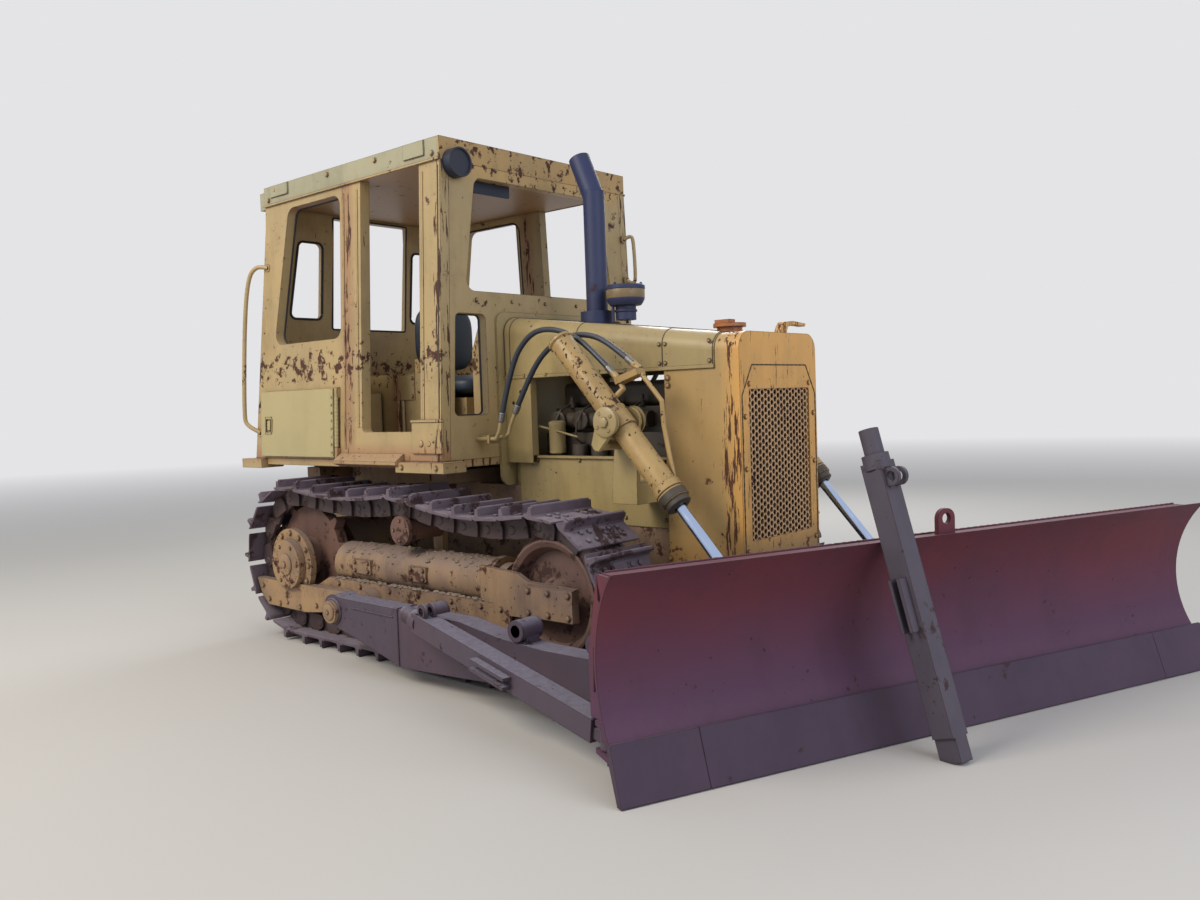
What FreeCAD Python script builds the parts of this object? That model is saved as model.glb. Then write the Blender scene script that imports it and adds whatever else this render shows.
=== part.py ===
"""Crawler bulldozer with an angled blade on an outside frame and an open cab.

Machine frame, in millimetres: x runs forward from the sprocket axle, y to the
machine's left from its centre plane, z up from the ground under the tracks.
Pieces that come in pairs are built on the right side, where y is negative,
and mirrored to the left. The export moves all of them by ROW_SHIFT.
"""
import FreeCAD
import Part
import math
import os

Vec = FreeCAD.Vector

# Tracks: gauge, shoe width and wheelbase are the machine's nominal ones
TRACK_GAUGE = 1524.0
SHOE_WIDTH = 406.0
TRACK_BASE = 2040.0
LINK_COUNT = 36
LINK_PITCH = 175.0
GROUSER_HEIGHT = 52.0
SHOE_PLATE = 13.0
LINK_ABOVE_PIN = 52.0
LINK_BELOW_PIN = 45.0
LINK_GAP = 150.0
LINK_THICKNESS = 34.0
SPROCKET_PIN_RADIUS = 362.0
IDLER_PIN_RADIUS = 330.0
CARRIER_X = 1000.0
CARRIER_PIN_Z = 829.0
REAR_SAG = 37.0
FRONT_SAG = 50.0
REAR_WRAP = 7.0
FRONT_WRAP = 14.0
SIDE_Y = -TRACK_GAUGE / 2
PLATE_TOP = LINK_ABOVE_PIN + SHOE_PLATE
SHOE_TIP = PLATE_TOP + GROUSER_HEIGHT
PIN_Z = SHOE_TIP
SPROCKET_Z = PIN_Z + SPROCKET_PIN_RADIUS
IDLER_Z = PIN_Z + IDLER_PIN_RADIUS
TRACK_OUT_Y = SIDE_Y - SHOE_WIDTH / 2
TRACK_IN_Y = SIDE_Y + SHOE_WIDTH / 2

# Clearances: seats of curved faces, pins in their bores, free gaps
SEAT_GAP = 0.3
PIN_GAP = 0.05
FREE_GAP = 6.0

# Rollers and the frame that carries them
ROLLER_RADIUS = 90.0
ROLLER_HALF = 112.0
ROLLER_COUNT = 5
ROLLER_FIRST_X = 352.0
ROLLER_LAST_X = TRACK_BASE - 400.0
ROLLER_Z = PIN_Z + LINK_BELOW_PIN + ROLLER_RADIUS + SEAT_GAP
ROLLER_SHAFT = 30.0
CARRIER_RADIUS = 60.0
CARRIER_CAP = 78.0
CARRIER_Z = CARRIER_PIN_Z - LINK_BELOW_PIN - CARRIER_RADIUS - 21.0
GUARD_THICKNESS = 22.0
GUARD_FACE = SIDE_Y - ROLLER_HALF - GUARD_THICKNESS - SEAT_GAP
GUARD_Z0 = 190.0
GUARD_Z1 = 400.0
RECOIL_RADIUS = 118.0
RECOIL_Z = 472.0
RECOIL_X0 = 360.0
RECOIL_X1 = TRACK_BASE - 385.0
RECOIL_NOSE_RADIUS = 100.0
RECOIL_NOSE_X1 = RECOIL_X1 + 60.0
CLAMP_XS = ((550.0, 710.0), (1040.0, 1180.0))

# Main frame, transmission case and engine
FRAME_HALF = 300.0
FRAME_Z0 = 340.0
RAIL_Z0 = 700.0
RAIL_Z1 = 900.0
RAIL_X1 = 2520.0
CASE_X0 = -480.0
CASE_X1 = 520.0
CASE_TOP = 985.0
GEARBOX_X1 = 1000.0
DRIVE_RADIUS = 210.0
HUB_HALF = 140.0
BOSS_Z = 455.0
ENGINE_X0 = 1420.0
ENGINE_X1 = 2240.0
ENGINE_HALF = 210.0
ENGINE_Z0 = 620.0
ENGINE_Z1 = 1180.0

# Hood, cowl and radiator guard
HOOD_HALF = 345.0
HOOD_X0 = 1250.0
HOOD_X1 = 2620.0
HOOD_TOP_REAR = 1812.0
HOOD_TOP_FRONT = 1640.0
HOOD_CORNER = 85.0
BELT_Z = 1476.0
SILL_Z = 1065.0
STRAP_X1 = 1443.0
STRAP_HOLES = ((1408.0, 1440.0), (1364.0, 1404.0), (1308.0, 1347.0))
SHEET = 5.0
COWL_HALF = 395.0
EXHAUST_X = 1630.0
EXHAUST_BASE = 1755.0
EXHAUST_TOP = 2660.0
EXHAUST_RADIUS = 58.0
CAP_AT = (2540.0, -90.0, 1672.0)
NOSE_X0 = 2330.0
NOSE_X1 = 2752.0
NOSE_HALF = 340.0
NOSE_Z0 = 560.0
NOSE_TOP = 1636.0
NOSE_PLATE = 12.0
HOOK_X0 = 2692.0
HOOK = ((58.0, NOSE_TOP - 2), (112.0, NOSE_TOP - 2), (128.0, 1668.0), (180.0, 1679.0), (288.0, 1674.0),
        (296.0, 1688.0), (180.0, 1697.0), (98.0, 1690.0), (72.0, 1664.0))
GRILLE_HALF = 267.0
GRILLE_Z0 = 683.0
GRILLE_Z1 = 1373.0
GRILLE_COLUMNS = 7
GRILLE_ROWS = 17
GRILLE_HOLE = 19.0

# Cab: the side walls lean in evenly from sill to roof
CAB_X1 = 1237.0
CAB_REAR_BASE_X = -560.0
CAB_REAR_TOP_X = -420.0
CAB_Z0 = 1060.0
ROOF_Z0 = 2603.0
ROOF_Z1 = 2721.0
CAB_HALF_BASE = 800.0
CAB_HALF_TOP = CAB_HALF_BASE - 68.0
CAB_WALL = 60.0
LAMP_AT = (92.0 - CAB_HALF_TOP, ROOF_Z0 - 13.0)
LAMP_RADIUS = 76.0
VISOR = (-457.0, -190.0, 2476.0, 2556.0)
ROOF_LUGS = ((953.0, 1120.0, 2640.0), (-351.0, -158.0, 2650.0))
LEFT_BAR_X = 303.0
HEADER_DEPTH = 90.0
SIDE_SILL = CAB_Z0 + 690.0
SIDE_HEAD = ROOF_Z0 - 43.0
SIDE_PANE = ((-330.0, SIDE_SILL), (365.0, SIDE_SILL), (365.0, SIDE_HEAD), (-165.0, SIDE_HEAD))
CONSOLE_OUT = 440.0
CONSOLE_GAP = 10.0
REAR_WALL = 40.0
FLOOR_Z0 = 1020.0
SEAT_Z = CAB_Z0 + 330.0
LEAN = math.degrees(math.atan((CAB_HALF_BASE - CAB_HALF_TOP) / (ROOF_Z0 - CAB_Z0)))

# Grab rails: points as (x, distance out from the wall's face, z); the left loop's x is from the cab front
RAIL_RIGHT = ((-400.0, -8.0, 2230.0), (-470.0, 42.0, 2245.0), (-520.0, 69.0, 2170.0), (-555.0, 75.0, 1860.0),
              (-600.0, 57.0, 1330.0), (-585.0, 49.0, 1265.0), (-505.0, -13.0, 1215.0))
RAIL_LEFT = ((0.0, -44.0, 2330.0), (53.0, -14.0, 2330.0), (53.0, -10.0, 2080.0), (0.0, -40.0, 2080.0))

# Tool box doors below the rear side windows
DOOR_X0 = -450.0
DOOR_X1 = 325.0
DOOR_Z0 = 1068.0
DOOR_Z1 = 1470.0
DOOR_PLATE = 22.0
DOOR_HINGE_X = 338.0
HINGE_RADIUS = 11.0
HINGE_PIN = 6.0

# Blade frame and its pivots
LIFT_X = 735.0
LIFT_Z = 295.0
LIFT_PIN = 40.0
ARM_WIDTH = 120.0
ARM_GAP = 65.0
ARM_OUT_Y = TRACK_OUT_Y - ARM_GAP - ARM_WIDTH
ARM_Z0 = 128.0
ARM_Z1 = 300.0
ARM_TURN_X = 2600.0
ARM_SIDE = ((735.0, 215.0), (870.0, 190.0), (1290.0, 80.0), (1700.0, 96.0), (2330.0, ARM_Z0), (2600.0, ARM_Z0),
            (2600.0, ARM_Z1), (2250.0, ARM_Z1), (2000.0, 316.0), (1730.0, 358.0), (1270.0, 366.0), (850.0, 370.0),
            (735.0, 374.0))
BEAM_X1 = 3112.0
PIVOT_X = 3160.0
PIVOT_EYE = 66.0
PIVOT_PIN = 32.0
PIVOT_Z0 = 195.0
PIVOT_Z1 = 295.0
SOCKET_XS = (1480.0, 2105.0, 2560.0)
SOCKET_Z = 362.0
SOCKET_RADIUS = 48.0
SOCKET_BORE = 26.0

# Blade: local frame with s forward from the pivot, w to the blade's left end
BLADE_WIDTH = 3120.0
BLADE_TOP = 772.0
BLADE_EDGE_Z = 4.0
BLADE_ANGLE = 22.0
BLADE_PLATE = 14.0
LIP_S = 560.0
DEEP_S = 425.0
FOOT_S = 520.0
EDGE_S = 600.0
FOOT_Z = 160.0
BACK_S = 330.0

# Braces between the frame's sockets and the blade's lower corners
BRACE_S = 345.0
BRACE_INSET = 110.0
BRACE_W = -(BLADE_WIDTH / 2 - BRACE_INSET)
BRACE_Z = 150.0
BRACE_BAR = 90.0
RING_BACK = 130.0
BRACE_OUT = 64.0
BRACE_REAR = (SOCKET_XS[0], ARM_OUT_Y - BRACE_OUT, SOCKET_Z)
LEAN_FOOT_S = 790.0
LEAN_W = -330.0
LEAN_LENGTH = 1180.0
LEAN_SHIFT = 60.0

# Lift cylinders, in a plane outside the hood
CYL_Y = -630.0
TRUNNION_X = 2285.0
TRUNNION_Z = 1247.0
ROD_EYE_X = 3016.0
ROD_EYE_Z = 425.0
BARREL_RADIUS = 58.0
ROD_RADIUS = 25.0
BARREL_ABOVE = 520.0
BARREL_BELOW = 470.0
ROD_INSIDE = 300.0
STROKE = 640.0

# Lift hydraulics on the right side, points as (x, y, z). A hose's corners are its control points
HOSE_RADIUS = 14.0
PORT_Y = -560.0
PORT_BLOCK = ((2226.0, 1446.0), (2362.0, 1488.0), (2374.0, 1457.0), (2238.0, 1415.0))
ELBOW = ((2250.0, -570.0, 1425.0), (2272.0, -575.0, 1395.0), (2235.0, -600.0, 1352.0))
LONG_TUBE = ((2355.0, PORT_Y, 1468.0), (2384.0, PORT_Y, 1444.0), (2482.0, PORT_Y, 1333.0), (2489.0, PORT_Y, 1226.0),
             (2522.0, PORT_Y, 1061.0), (2551.0, -566.0, 950.0), (2577.0, -585.0, 918.0))
HOSE_OUTER = ((1425.0, -552.0, 1256.0), (1514.0, -552.0, 1547.0), (1647.0, -550.0, 1688.0), (1784.0, -550.0, 1710.0),
              (1941.0, -550.0, 1668.0), (2076.0, -552.0, 1579.0), (2205.0, -565.0, 1470.0))
HOSE_INNER = ((1495.0, -515.0, 1298.0), (1617.0, -515.0, 1498.0), (1745.0, -515.0, 1617.0), (1895.0, -515.0, 1669.0),
              (2050.0, -518.0, 1659.0), (2181.0, -526.0, 1596.0), (2306.0, -540.0, 1511.0))
PIPE_OUTER = ((CAB_X1, -552.0, 1164.0), (1382.0, -552.0, 1164.0))
PIPE_INNER = ((CAB_X1, -515.0, 1170.0), (1405.0, -515.0, 1170.0), (1440.0, -515.0, 1190.0))
EYE_RADIUS = 50.0
EYE_HALF = 30.0

# Shift that centres the finished box over the origin
ROW_SHIFT = (-1818.0, 188.0, 0.0)


def box(x0, x1, y0, y1, z0, z1):
    """Block between two corners."""
    return Part.makeBox(x1 - x0, y1 - y0, z1 - z0, Vec(x0, y0, z0))


def bar(start, end, radius):
    """Round bar between two points."""
    a, b = Vec(*start), Vec(*end)
    return Part.makeCylinder(radius, (b - a).Length, a, b - a)


def bar_y(x, z, radius, y0, y1):
    """Round bar across the machine."""
    return bar((x, y0, z), (x, y1, z), radius)


def flat(edges, axis, low, high):
    """Closed wire drawn in a flat sheet, turned across an axis and extruded."""
    face = Part.Face(Part.Wire(edges))
    turn = {"x": FreeCAD.Rotation(Vec(0, 1, 0), Vec(0, 0, 1), Vec(1, 0, 0)),
            "y": FreeCAD.Rotation(Vec(1, 0, 0), Vec(0, 0, 1), Vec(0, -1, 0)),
            "z": FreeCAD.Rotation()}[axis]
    way = {"x": Vec(1, 0, 0), "y": Vec(0, 1, 0), "z": Vec(0, 0, 1)}[axis]
    face.Placement = FreeCAD.Placement(way * low, turn)
    return face.extrude(way * (high - low))


def slab(points, axis, low, high):
    """Outline of straight sides, extruded along an axis from low to high."""
    loop = [Vec(a, b, 0) for a, b in points]
    return flat(Part.makePolygon(loop + loop[:1]).Edges, axis, low, high)


def rounded(points, radius, axis, low, high):
    """Same as slab, with an arc of the given radius at each corner."""
    corners = []
    count = len(points)
    for i in range(count):
        here = Vec(*points[i], 0)
        back = (Vec(*points[i - 1], 0) - here).normalize()
        ahead = (Vec(*points[(i + 1) % count], 0) - here).normalize()
        half = back.getAngle(ahead) / 2
        reach = radius / math.tan(half)
        middle = here + (back + ahead).normalize() * (radius / math.sin(half) - radius)
        corners.append((here + back * reach, middle, here + ahead * reach))
    edges = []
    for i, (start, middle, end) in enumerate(corners):
        edges.append(Part.Arc(start, middle, end).toShape())
        edges.append(Part.LineSegment(end, corners[(i + 1) % count][0]).toShape())
    return flat(edges, axis, low, high)


def fuse(*shapes):
    """One solid from touching shapes."""
    return shapes[0].multiFuse(list(shapes[1:])).removeSplitter()


def group(*shapes):
    """Solids that lie apart and share a node."""
    return Part.makeCompound(list(shapes))


def mirrored(shape):
    """The same piece on the machine's other side."""
    return shape.mirror(Vec(0, 0, 0), Vec(0, 1, 0))


def leaned(shape):
    """Tips a wall built upright at the base of the right side to the cab's lean."""
    shape.rotate(Vec(0, -CAB_HALF_BASE, CAB_Z0), Vec(1, 0, 0), -LEAN)
    return shape


def cab_inner_half(z):
    """Half width between the inner faces of the side walls at a height."""
    rise = (z - CAB_Z0) * math.tan(math.radians(LEAN))
    return CAB_HALF_BASE - rise - CAB_WALL / math.cos(math.radians(LEAN))


def cab_outer_half(z):
    """Half width over the side walls at a height."""
    return CAB_HALF_BASE - (z - CAB_Z0) * math.tan(math.radians(LEAN))


def on_blade(shape):
    """Places a piece built in the blade's local frame on the angled blade."""
    shape.rotate(Vec(0, 0, 0), Vec(0, 0, 1), -BLADE_ANGLE)
    shape.translate(Vec(PIVOT_X, 0, 0))
    return shape


def track_path():
    """Pin line as closely spaced points: ground run, idler, sagging top, sprocket."""
    path = [(TRACK_BASE * i / 40, PIN_Z) for i in range(40)]
    for i in range(60):
        turn = math.radians(-90 + (180 + FRONT_WRAP) * i / 60)
        path.append((TRACK_BASE + IDLER_PIN_RADIUS * math.cos(turn), IDLER_Z + IDLER_PIN_RADIUS * math.sin(turn)))
    leave, meet = math.radians(90 + FRONT_WRAP), math.radians(90 - REAR_WRAP)
    off_idler = (TRACK_BASE + IDLER_PIN_RADIUS * math.cos(leave), IDLER_Z + IDLER_PIN_RADIUS * math.sin(leave))
    on_sprocket = (SPROCKET_PIN_RADIUS * math.cos(meet), SPROCKET_Z + SPROCKET_PIN_RADIUS * math.sin(meet))
    spans = [(off_idler, (CARRIER_X, CARRIER_PIN_Z), FRONT_SAG), ((CARRIER_X, CARRIER_PIN_Z), on_sprocket, REAR_SAG)]
    for (xa, za), (xb, zb), sag in spans:
        for i in range(30):
            t = i / 30
            path.append((xa + (xb - xa) * t, za + (zb - za) * t - 4 * sag * t * (1 - t)))
    for i in range(60):
        turn = meet + math.radians(180 + REAR_WRAP) * i / 60
        path.append((SPROCKET_PIN_RADIUS * math.cos(turn), SPROCKET_Z + SPROCKET_PIN_RADIUS * math.sin(turn)))
    return path


def track_pins():
    """Pins at equal steps along the pin line, and the outward normal at each."""
    path = track_path()
    steps = [math.dist(path[i], path[(i + 1) % len(path)]) for i in range(len(path))]
    pitch = sum(steps) / LINK_COUNT
    pins, walked, index = [], 0.0, 0
    for k in range(LINK_COUNT):
        while walked + steps[index] < k * pitch:
            walked += steps[index]
            index += 1
        t = (k * pitch - walked) / steps[index]
        a, b = path[index], path[(index + 1) % len(path)]
        pins.append((a[0] + (b[0] - a[0]) * t, a[1] + (b[1] - a[1]) * t))
    normals = []
    for k in range(LINK_COUNT):
        a, b = pins[k - 1], pins[(k + 1) % LINK_COUNT]
        run = math.dist(a, b)
        normals.append(((b[1] - a[1]) / run, (a[0] - b[0]) / run))
    return pins, normals


def chain_outline(pins, normals, profile):
    """Outline of the chain from pairs of (share of a link, height over the pin line)."""
    points = []
    for k in range(LINK_COUNT):
        a, b = pins[k], pins[(k + 1) % LINK_COUNT]
        na, nb = normals[k], normals[(k + 1) % LINK_COUNT]
        for share, height in profile:
            nx = na[0] + (nb[0] - na[0]) * share
            nz = na[1] + (nb[1] - na[1]) * share
            points.append((a[0] + (b[0] - a[0]) * share + nx * height, a[1] + (b[1] - a[1]) * share + nz * height))
    return points


def track():
    """One closed loop: shoes with their grousers, and two rails of links inside."""
    pins, normals = track_pins()
    shoe = [(0.03, PLATE_TOP), (0.70, PLATE_TOP), (0.77, SHOE_TIP), (0.84, SHOE_TIP), (0.90, PLATE_TOP)]
    outer = chain_outline(pins, normals, shoe)
    inner = chain_outline(pins, normals, [(0.0, LINK_ABOVE_PIN)])
    tread = chain_outline(pins, normals, [(0.0, -LINK_BELOW_PIN)])
    shoes = slab(outer, "y", TRACK_OUT_Y, TRACK_IN_Y).cut(slab(inner, "y", TRACK_OUT_Y, TRACK_IN_Y))
    rails = []
    for near in (-LINK_GAP / 2 - LINK_THICKNESS, LINK_GAP / 2):
        y0 = SIDE_Y + near
        y1 = y0 + LINK_THICKNESS
        rails.append(slab(inner, "y", y0, y1).cut(slab(tread, "y", y0, y1)))
    return fuse(shoes, *rails)


def sprocket():
    """Toothed rim between the rails, on its hub."""
    teeth = 13
    root, tip = SPROCKET_PIN_RADIUS - 62, SPROCKET_PIN_RADIUS - 8
    outline = []
    for i in range(teeth):
        for share, radius in ((0.0, root), (0.30, root), (0.42, tip), (0.58, tip), (0.70, root)):
            turn = 2 * math.pi * (i + share) / teeth
            outline.append((radius * math.cos(turn), SPROCKET_Z + radius * math.sin(turn)))
    rim = slab(outline, "y", SIDE_Y - 32, SIDE_Y + 32)
    hub = bar_y(0, SPROCKET_Z, 118, GUARD_FACE, SIDE_Y + HUB_HALF)
    return fuse(rim, hub)


def sprocket_support():
    """Outboard bearing of the sprocket shaft: flange, round boss and the plate under them."""
    y1 = GUARD_FACE
    lower = [(-365, 345), (-318, 245), (-250, 190), (150, 185), (330, 205), (550, 245), (550, 345)]
    plate = slab(lower, "y", y1 - 48, y1)
    flange = bar_y(0, BOSS_Z, 205, y1 - 34, y1)
    boss = bar_y(0, BOSS_Z, 145, y1 - 74, y1)
    return fuse(plate, flange, boss)


def idler():
    """Front wheel: a rim under each rail and a taller flange between them."""
    chord = math.cos(math.asin(LINK_PITCH / 2 / IDLER_PIN_RADIUS))
    rim = (IDLER_PIN_RADIUS - LINK_BELOW_PIN) * chord - 2.0
    wide = bar_y(TRACK_BASE, IDLER_Z, rim, SIDE_Y - 108, SIDE_Y + 108)
    flange = bar_y(TRACK_BASE, IDLER_Z, rim + 26, SIDE_Y - 66, SIDE_Y + 66)
    shaft = bar_y(TRACK_BASE, IDLER_Z, 44, SIDE_Y - ROLLER_HALF, SIDE_Y + ROLLER_HALF)
    return fuse(wide, flange, shaft)


def rollers():
    """Bottom rollers in a row and the carrier roller under the top run."""
    pieces = []
    for i in range(ROLLER_COUNT):
        x = ROLLER_FIRST_X + (ROLLER_LAST_X - ROLLER_FIRST_X) * i / (ROLLER_COUNT - 1)
        barrel = bar_y(x, ROLLER_Z, ROLLER_RADIUS - 30, SIDE_Y - ROLLER_HALF, SIDE_Y + ROLLER_HALF)
        outer = bar_y(x, ROLLER_Z, ROLLER_RADIUS, SIDE_Y - 109, SIDE_Y - 68)
        inner = bar_y(x, ROLLER_Z, ROLLER_RADIUS, SIDE_Y + 68, SIDE_Y + 109)
        pieces.append(fuse(barrel, outer, inner))
    barrel = bar_y(CARRIER_X, CARRIER_Z, CARRIER_RADIUS, SIDE_Y - ROLLER_HALF, SIDE_Y + ROLLER_HALF)
    end_cap = bar_y(CARRIER_X, CARRIER_Z, CARRIER_CAP, SIDE_Y - 142, SIDE_Y - ROLLER_HALF - 3)
    neck = bar_y(CARRIER_X, CARRIER_Z, CARRIER_RADIUS - 15, SIDE_Y - 130, SIDE_Y)
    return group(*pieces, fuse(barrel, neck, end_cap))


def track_frame():
    """Recoil tube over two roller guards, the idler fork and the frame's trunnion."""
    tube = bar((RECOIL_X0, SIDE_Y, RECOIL_Z), (RECOIL_X1, SIDE_Y, RECOIL_Z), RECOIL_RADIUS)
    nose = bar((RECOIL_X1, SIDE_Y, RECOIL_Z), (RECOIL_NOSE_X1, SIDE_Y, RECOIL_Z), RECOIL_NOSE_RADIUS)
    web = box(RECOIL_X0, RECOIL_NOSE_X1, SIDE_Y - ROLLER_HALF - 1, SIDE_Y + ROLLER_HALF + 1, 350, GUARD_Z1 - 20)
    band = bar((RECOIL_X1 - 45, SIDE_Y, RECOIL_Z), (RECOIL_X1, SIDE_Y, RECOIL_Z), RECOIL_RADIUS + 10)
    pieces = [tube, nose, web, band]
    for x0, x1 in CLAMP_XS:
        pieces.append(box(x0, x1, SIDE_Y - RECOIL_RADIUS - 10, SIDE_Y - 60, 442, 520))
    for sign in (-1, 1):
        y0 = SIDE_Y + sign * (ROLLER_HALF + GUARD_THICKNESS / 2 + SEAT_GAP)
        x = TRACK_BASE
        guard = [(180, GUARD_Z0 + 60), (260, GUARD_Z0), (x - 340, GUARD_Z0), (x - 240, GUARD_Z0 + 90),
                 (x - 240, GUARD_Z1 - 60), (x - 305, GUARD_Z1), (330, GUARD_Z1), (180, GUARD_Z0 + 140)]
        fork = [(x - 440, GUARD_Z1 - 60), (x + 185, GUARD_Z1 - 42), (x + 185, 512), (x - 110, 522), (x - 180, 556),
                (x - 440, 572)]
        pieces.append(slab(guard, "y", y0 - GUARD_THICKNESS / 2, y0 + GUARD_THICKNESS / 2))
        pieces.append(slab(fork, "y", y0 - GUARD_THICKNESS / 2, y0 + GUARD_THICKNESS / 2))
    pieces.append(box(TRACK_BASE - 115, TRACK_BASE + 185, GUARD_FACE - 22, GUARD_FACE, 362, 508))
    inner_face = SIDE_Y + ROLLER_HALF + SEAT_GAP
    stand = box(CARRIER_X - 40, CARRIER_X + 40, inner_face, inner_face + 36, GUARD_Z1 - 40, CARRIER_Z + 35)
    boss = bar_y(LIFT_X, LIFT_Z, 80, GUARD_FACE - 70, GUARD_FACE)
    pin = bar_y(LIFT_X, LIFT_Z, LIFT_PIN, ARM_OUT_Y - 6, GUARD_FACE)
    cap = bar_y(LIFT_X, LIFT_Z, 60, ARM_OUT_Y - 28, ARM_OUT_Y - 6)
    return fuse(*pieces, stand, boss, pin, cap)


def final_drive():
    """Round case between the transmission case and the sprocket's hub."""
    y_in = -FRAME_HALF
    y_out = SIDE_Y + HUB_HALF
    case = bar_y(0, SPROCKET_Z, DRIVE_RADIUS, y_out, y_in)
    flange = bar_y(0, SPROCKET_Z, DRIVE_RADIUS + 30, y_in - 30, y_in)
    return fuse(case, flange)


def main_frame():
    """Transmission case, frame rails, belly pan and the bar across to the track frames."""
    case_side = [(CASE_X0, FRAME_Z0 + 80), (CASE_X0 + 120, FRAME_Z0), (CASE_X1, FRAME_Z0), (CASE_X1, CASE_TOP),
                 (CASE_X0 + 90, CASE_TOP), (CASE_X0, CASE_TOP - 110)]
    case = slab(case_side, "y", -FRAME_HALF, FRAME_HALF)
    pan = box(CASE_X1, RAIL_X1, -FRAME_HALF, FRAME_HALF, FRAME_Z0, FRAME_Z0 + 12)
    pieces = [case, pan]
    for sign in (-1, 1):
        y0, y1 = sorted((sign * (FRAME_HALF - 60), sign * FRAME_HALF))
        y2, y3 = sorted((sign * (FRAME_HALF - 12), sign * FRAME_HALF))
        pieces.append(box(CASE_X1, RAIL_X1, y0, y1, RAIL_Z0, RAIL_Z1))
        pieces.append(box(CASE_X1, RAIL_X1, y2, y3, FRAME_Z0, RAIL_Z0))
    bolster = NOSE_HALF - NOSE_PLATE
    pieces.append(box(RAIL_X1 - 120, RAIL_X1, -bolster, bolster, RAIL_Z0 - 80, RAIL_Z0 + 60))
    reach = -SIDE_Y - ROLLER_HALF - GUARD_THICKNESS - 2 * SEAT_GAP
    pieces.append(box(1180, 1300, -reach, reach, GUARD_Z1 - 50, GUARD_Z1 + 60))
    for x in (-330, 900):
        pieces.append(box(x - 70, x + 70, -540, 540, CASE_TOP - 70, CASE_TOP))
    pieces.append(box(830, 970, -FRAME_HALF, FRAME_HALF, RAIL_Z1 - 60, CASE_TOP - 60))
    pieces.append(box(CASE_X1, GEARBOX_X1, -180, 180, 560, RAIL_Z1 - 20))
    return fuse(*pieces)


def drawbar():
    """Rear towing jaw with its pin hole."""
    block = box(CASE_X0 - 40, CASE_X0, -130, 130, 380, 620)
    jaw = rounded([(CASE_X0 - 40, -70), (CASE_X0 - 40, 70), (CASE_X0 - 190, 70), (CASE_X0 - 190, -70)], 30, "z", 440, 560)
    slot = box(CASE_X0 - 200, CASE_X0 - 60, -80, 80, 475, 525)
    hole = bar((CASE_X0 - 130, 0, 430), (CASE_X0 - 130, 0, 570), 21)
    return fuse(block, jaw).cut(slot).cut(hole)


def engine():
    """Engine block with head, cover, manifold and filters, seen through the open side."""
    low, high = ENGINE_Z0, ENGINE_Z1
    block = box(ENGINE_X0, ENGINE_X1, -ENGINE_HALF, ENGINE_HALF, low, high)
    pan = box(ENGINE_X0 + 40, ENGINE_X1 - 60, -ENGINE_HALF + 40, ENGINE_HALF - 40, FRAME_Z0 + 30, low)
    head = box(ENGINE_X0 + 20, ENGINE_X1 - 30, -150, 150, high, high + 130)
    cover = rounded([(-110, high + 130), (110, high + 130), (110, high + 260), (-110, high + 260)], 30,
                    "x", ENGINE_X0 + 50, ENGINE_X1 - 80)
    manifold = bar((ENGINE_X0 + 80, -180, high + 65), (ENGINE_X1 - 120, -180, high + 65), 42)
    bell = bar((GEARBOX_X1, 0, 740), (ENGINE_X0, 0, 740), 150)
    filters = [bar((x, -252, RAIL_Z1 + 15), (x, -252, 1120), 41) for x in (1700, 1830)]
    shelf = box(1640, 1890, -FRAME_HALF, -ENGINE_HALF, RAIL_Z1, RAIL_Z1 + 15)
    return fuse(block, pan, head, cover, manifold, bell, shelf, *filters)


def hood_section(x, top, inset):
    """Inverted U of the hood at one station, drawn as a wire."""
    half, z1, r = HOOD_HALF - inset, top - inset, HOOD_CORNER - inset
    diag = r * (1 - math.sqrt(0.5))
    a, b = Vec(x, -half, BELT_Z), Vec(x, -half, z1 - r)
    c, d = Vec(x, -half + r, z1), Vec(x, half - r, z1)
    e, f = Vec(x, half, z1 - r), Vec(x, half, BELT_Z)
    edges = [Part.LineSegment(a, b).toShape(), Part.Arc(b, Vec(x, -half + diag, z1 - diag), c).toShape(),
             Part.LineSegment(c, d).toShape(), Part.Arc(d, Vec(x, half - diag, z1 - diag), e).toShape(),
             Part.LineSegment(e, f).toShape(), Part.LineSegment(f, a).toShape()]
    return Part.Wire(edges)


def hood_block(inset):
    """Solid under the hood's surface, set in by an inset."""
    rear = hood_section(HOOD_X0, HOOD_TOP_REAR, inset)
    front = hood_section(HOOD_X1, HOOD_TOP_FRONT, inset)
    return Part.makeLoft([rear, front], True, True)


def hood():
    """Sheet hood that slopes down to the radiator guard, open below the beltline."""
    return hood_block(0).cut(hood_block(SHEET))


def side_panels():
    """Sheets below the open engine bay, and the straps with bolt holes behind it."""
    pieces = []
    for sign in (-1, 1):
        y0, y1 = sorted((sign * FRAME_HALF, sign * (FRAME_HALF + SHEET)))
        pieces.append(box(HOOD_X0 + 50, NOSE_X0, y0, y1, RAIL_Z0 + 20, SILL_Z))
    for side in (-1, 1):
        y0, y1 = sorted((side * (HOOD_HALF - SHEET), side * HOOD_HALF))
        strap = box(HOOD_X0, STRAP_X1, y0, y1, SILL_Z - 40, BELT_Z)
        holes = [bar_y(x, z, 9, y0 - 1, y1 + 1) for x, z in STRAP_HOLES]
        inward = box(STRAP_X1 - SHEET, STRAP_X1, *sorted((side * (HOOD_HALF - 45), side * HOOD_HALF)), SILL_Z, BELT_Z)
        foot = box(HOOD_X0 + 60, STRAP_X1, *sorted((side * (FRAME_HALF + SHEET), side * HOOD_HALF)), SILL_Z - 40, SILL_Z - 35)
        pieces.append(fuse(strap, inward, foot).cut(group(*holes)))
    return group(*pieces)


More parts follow.
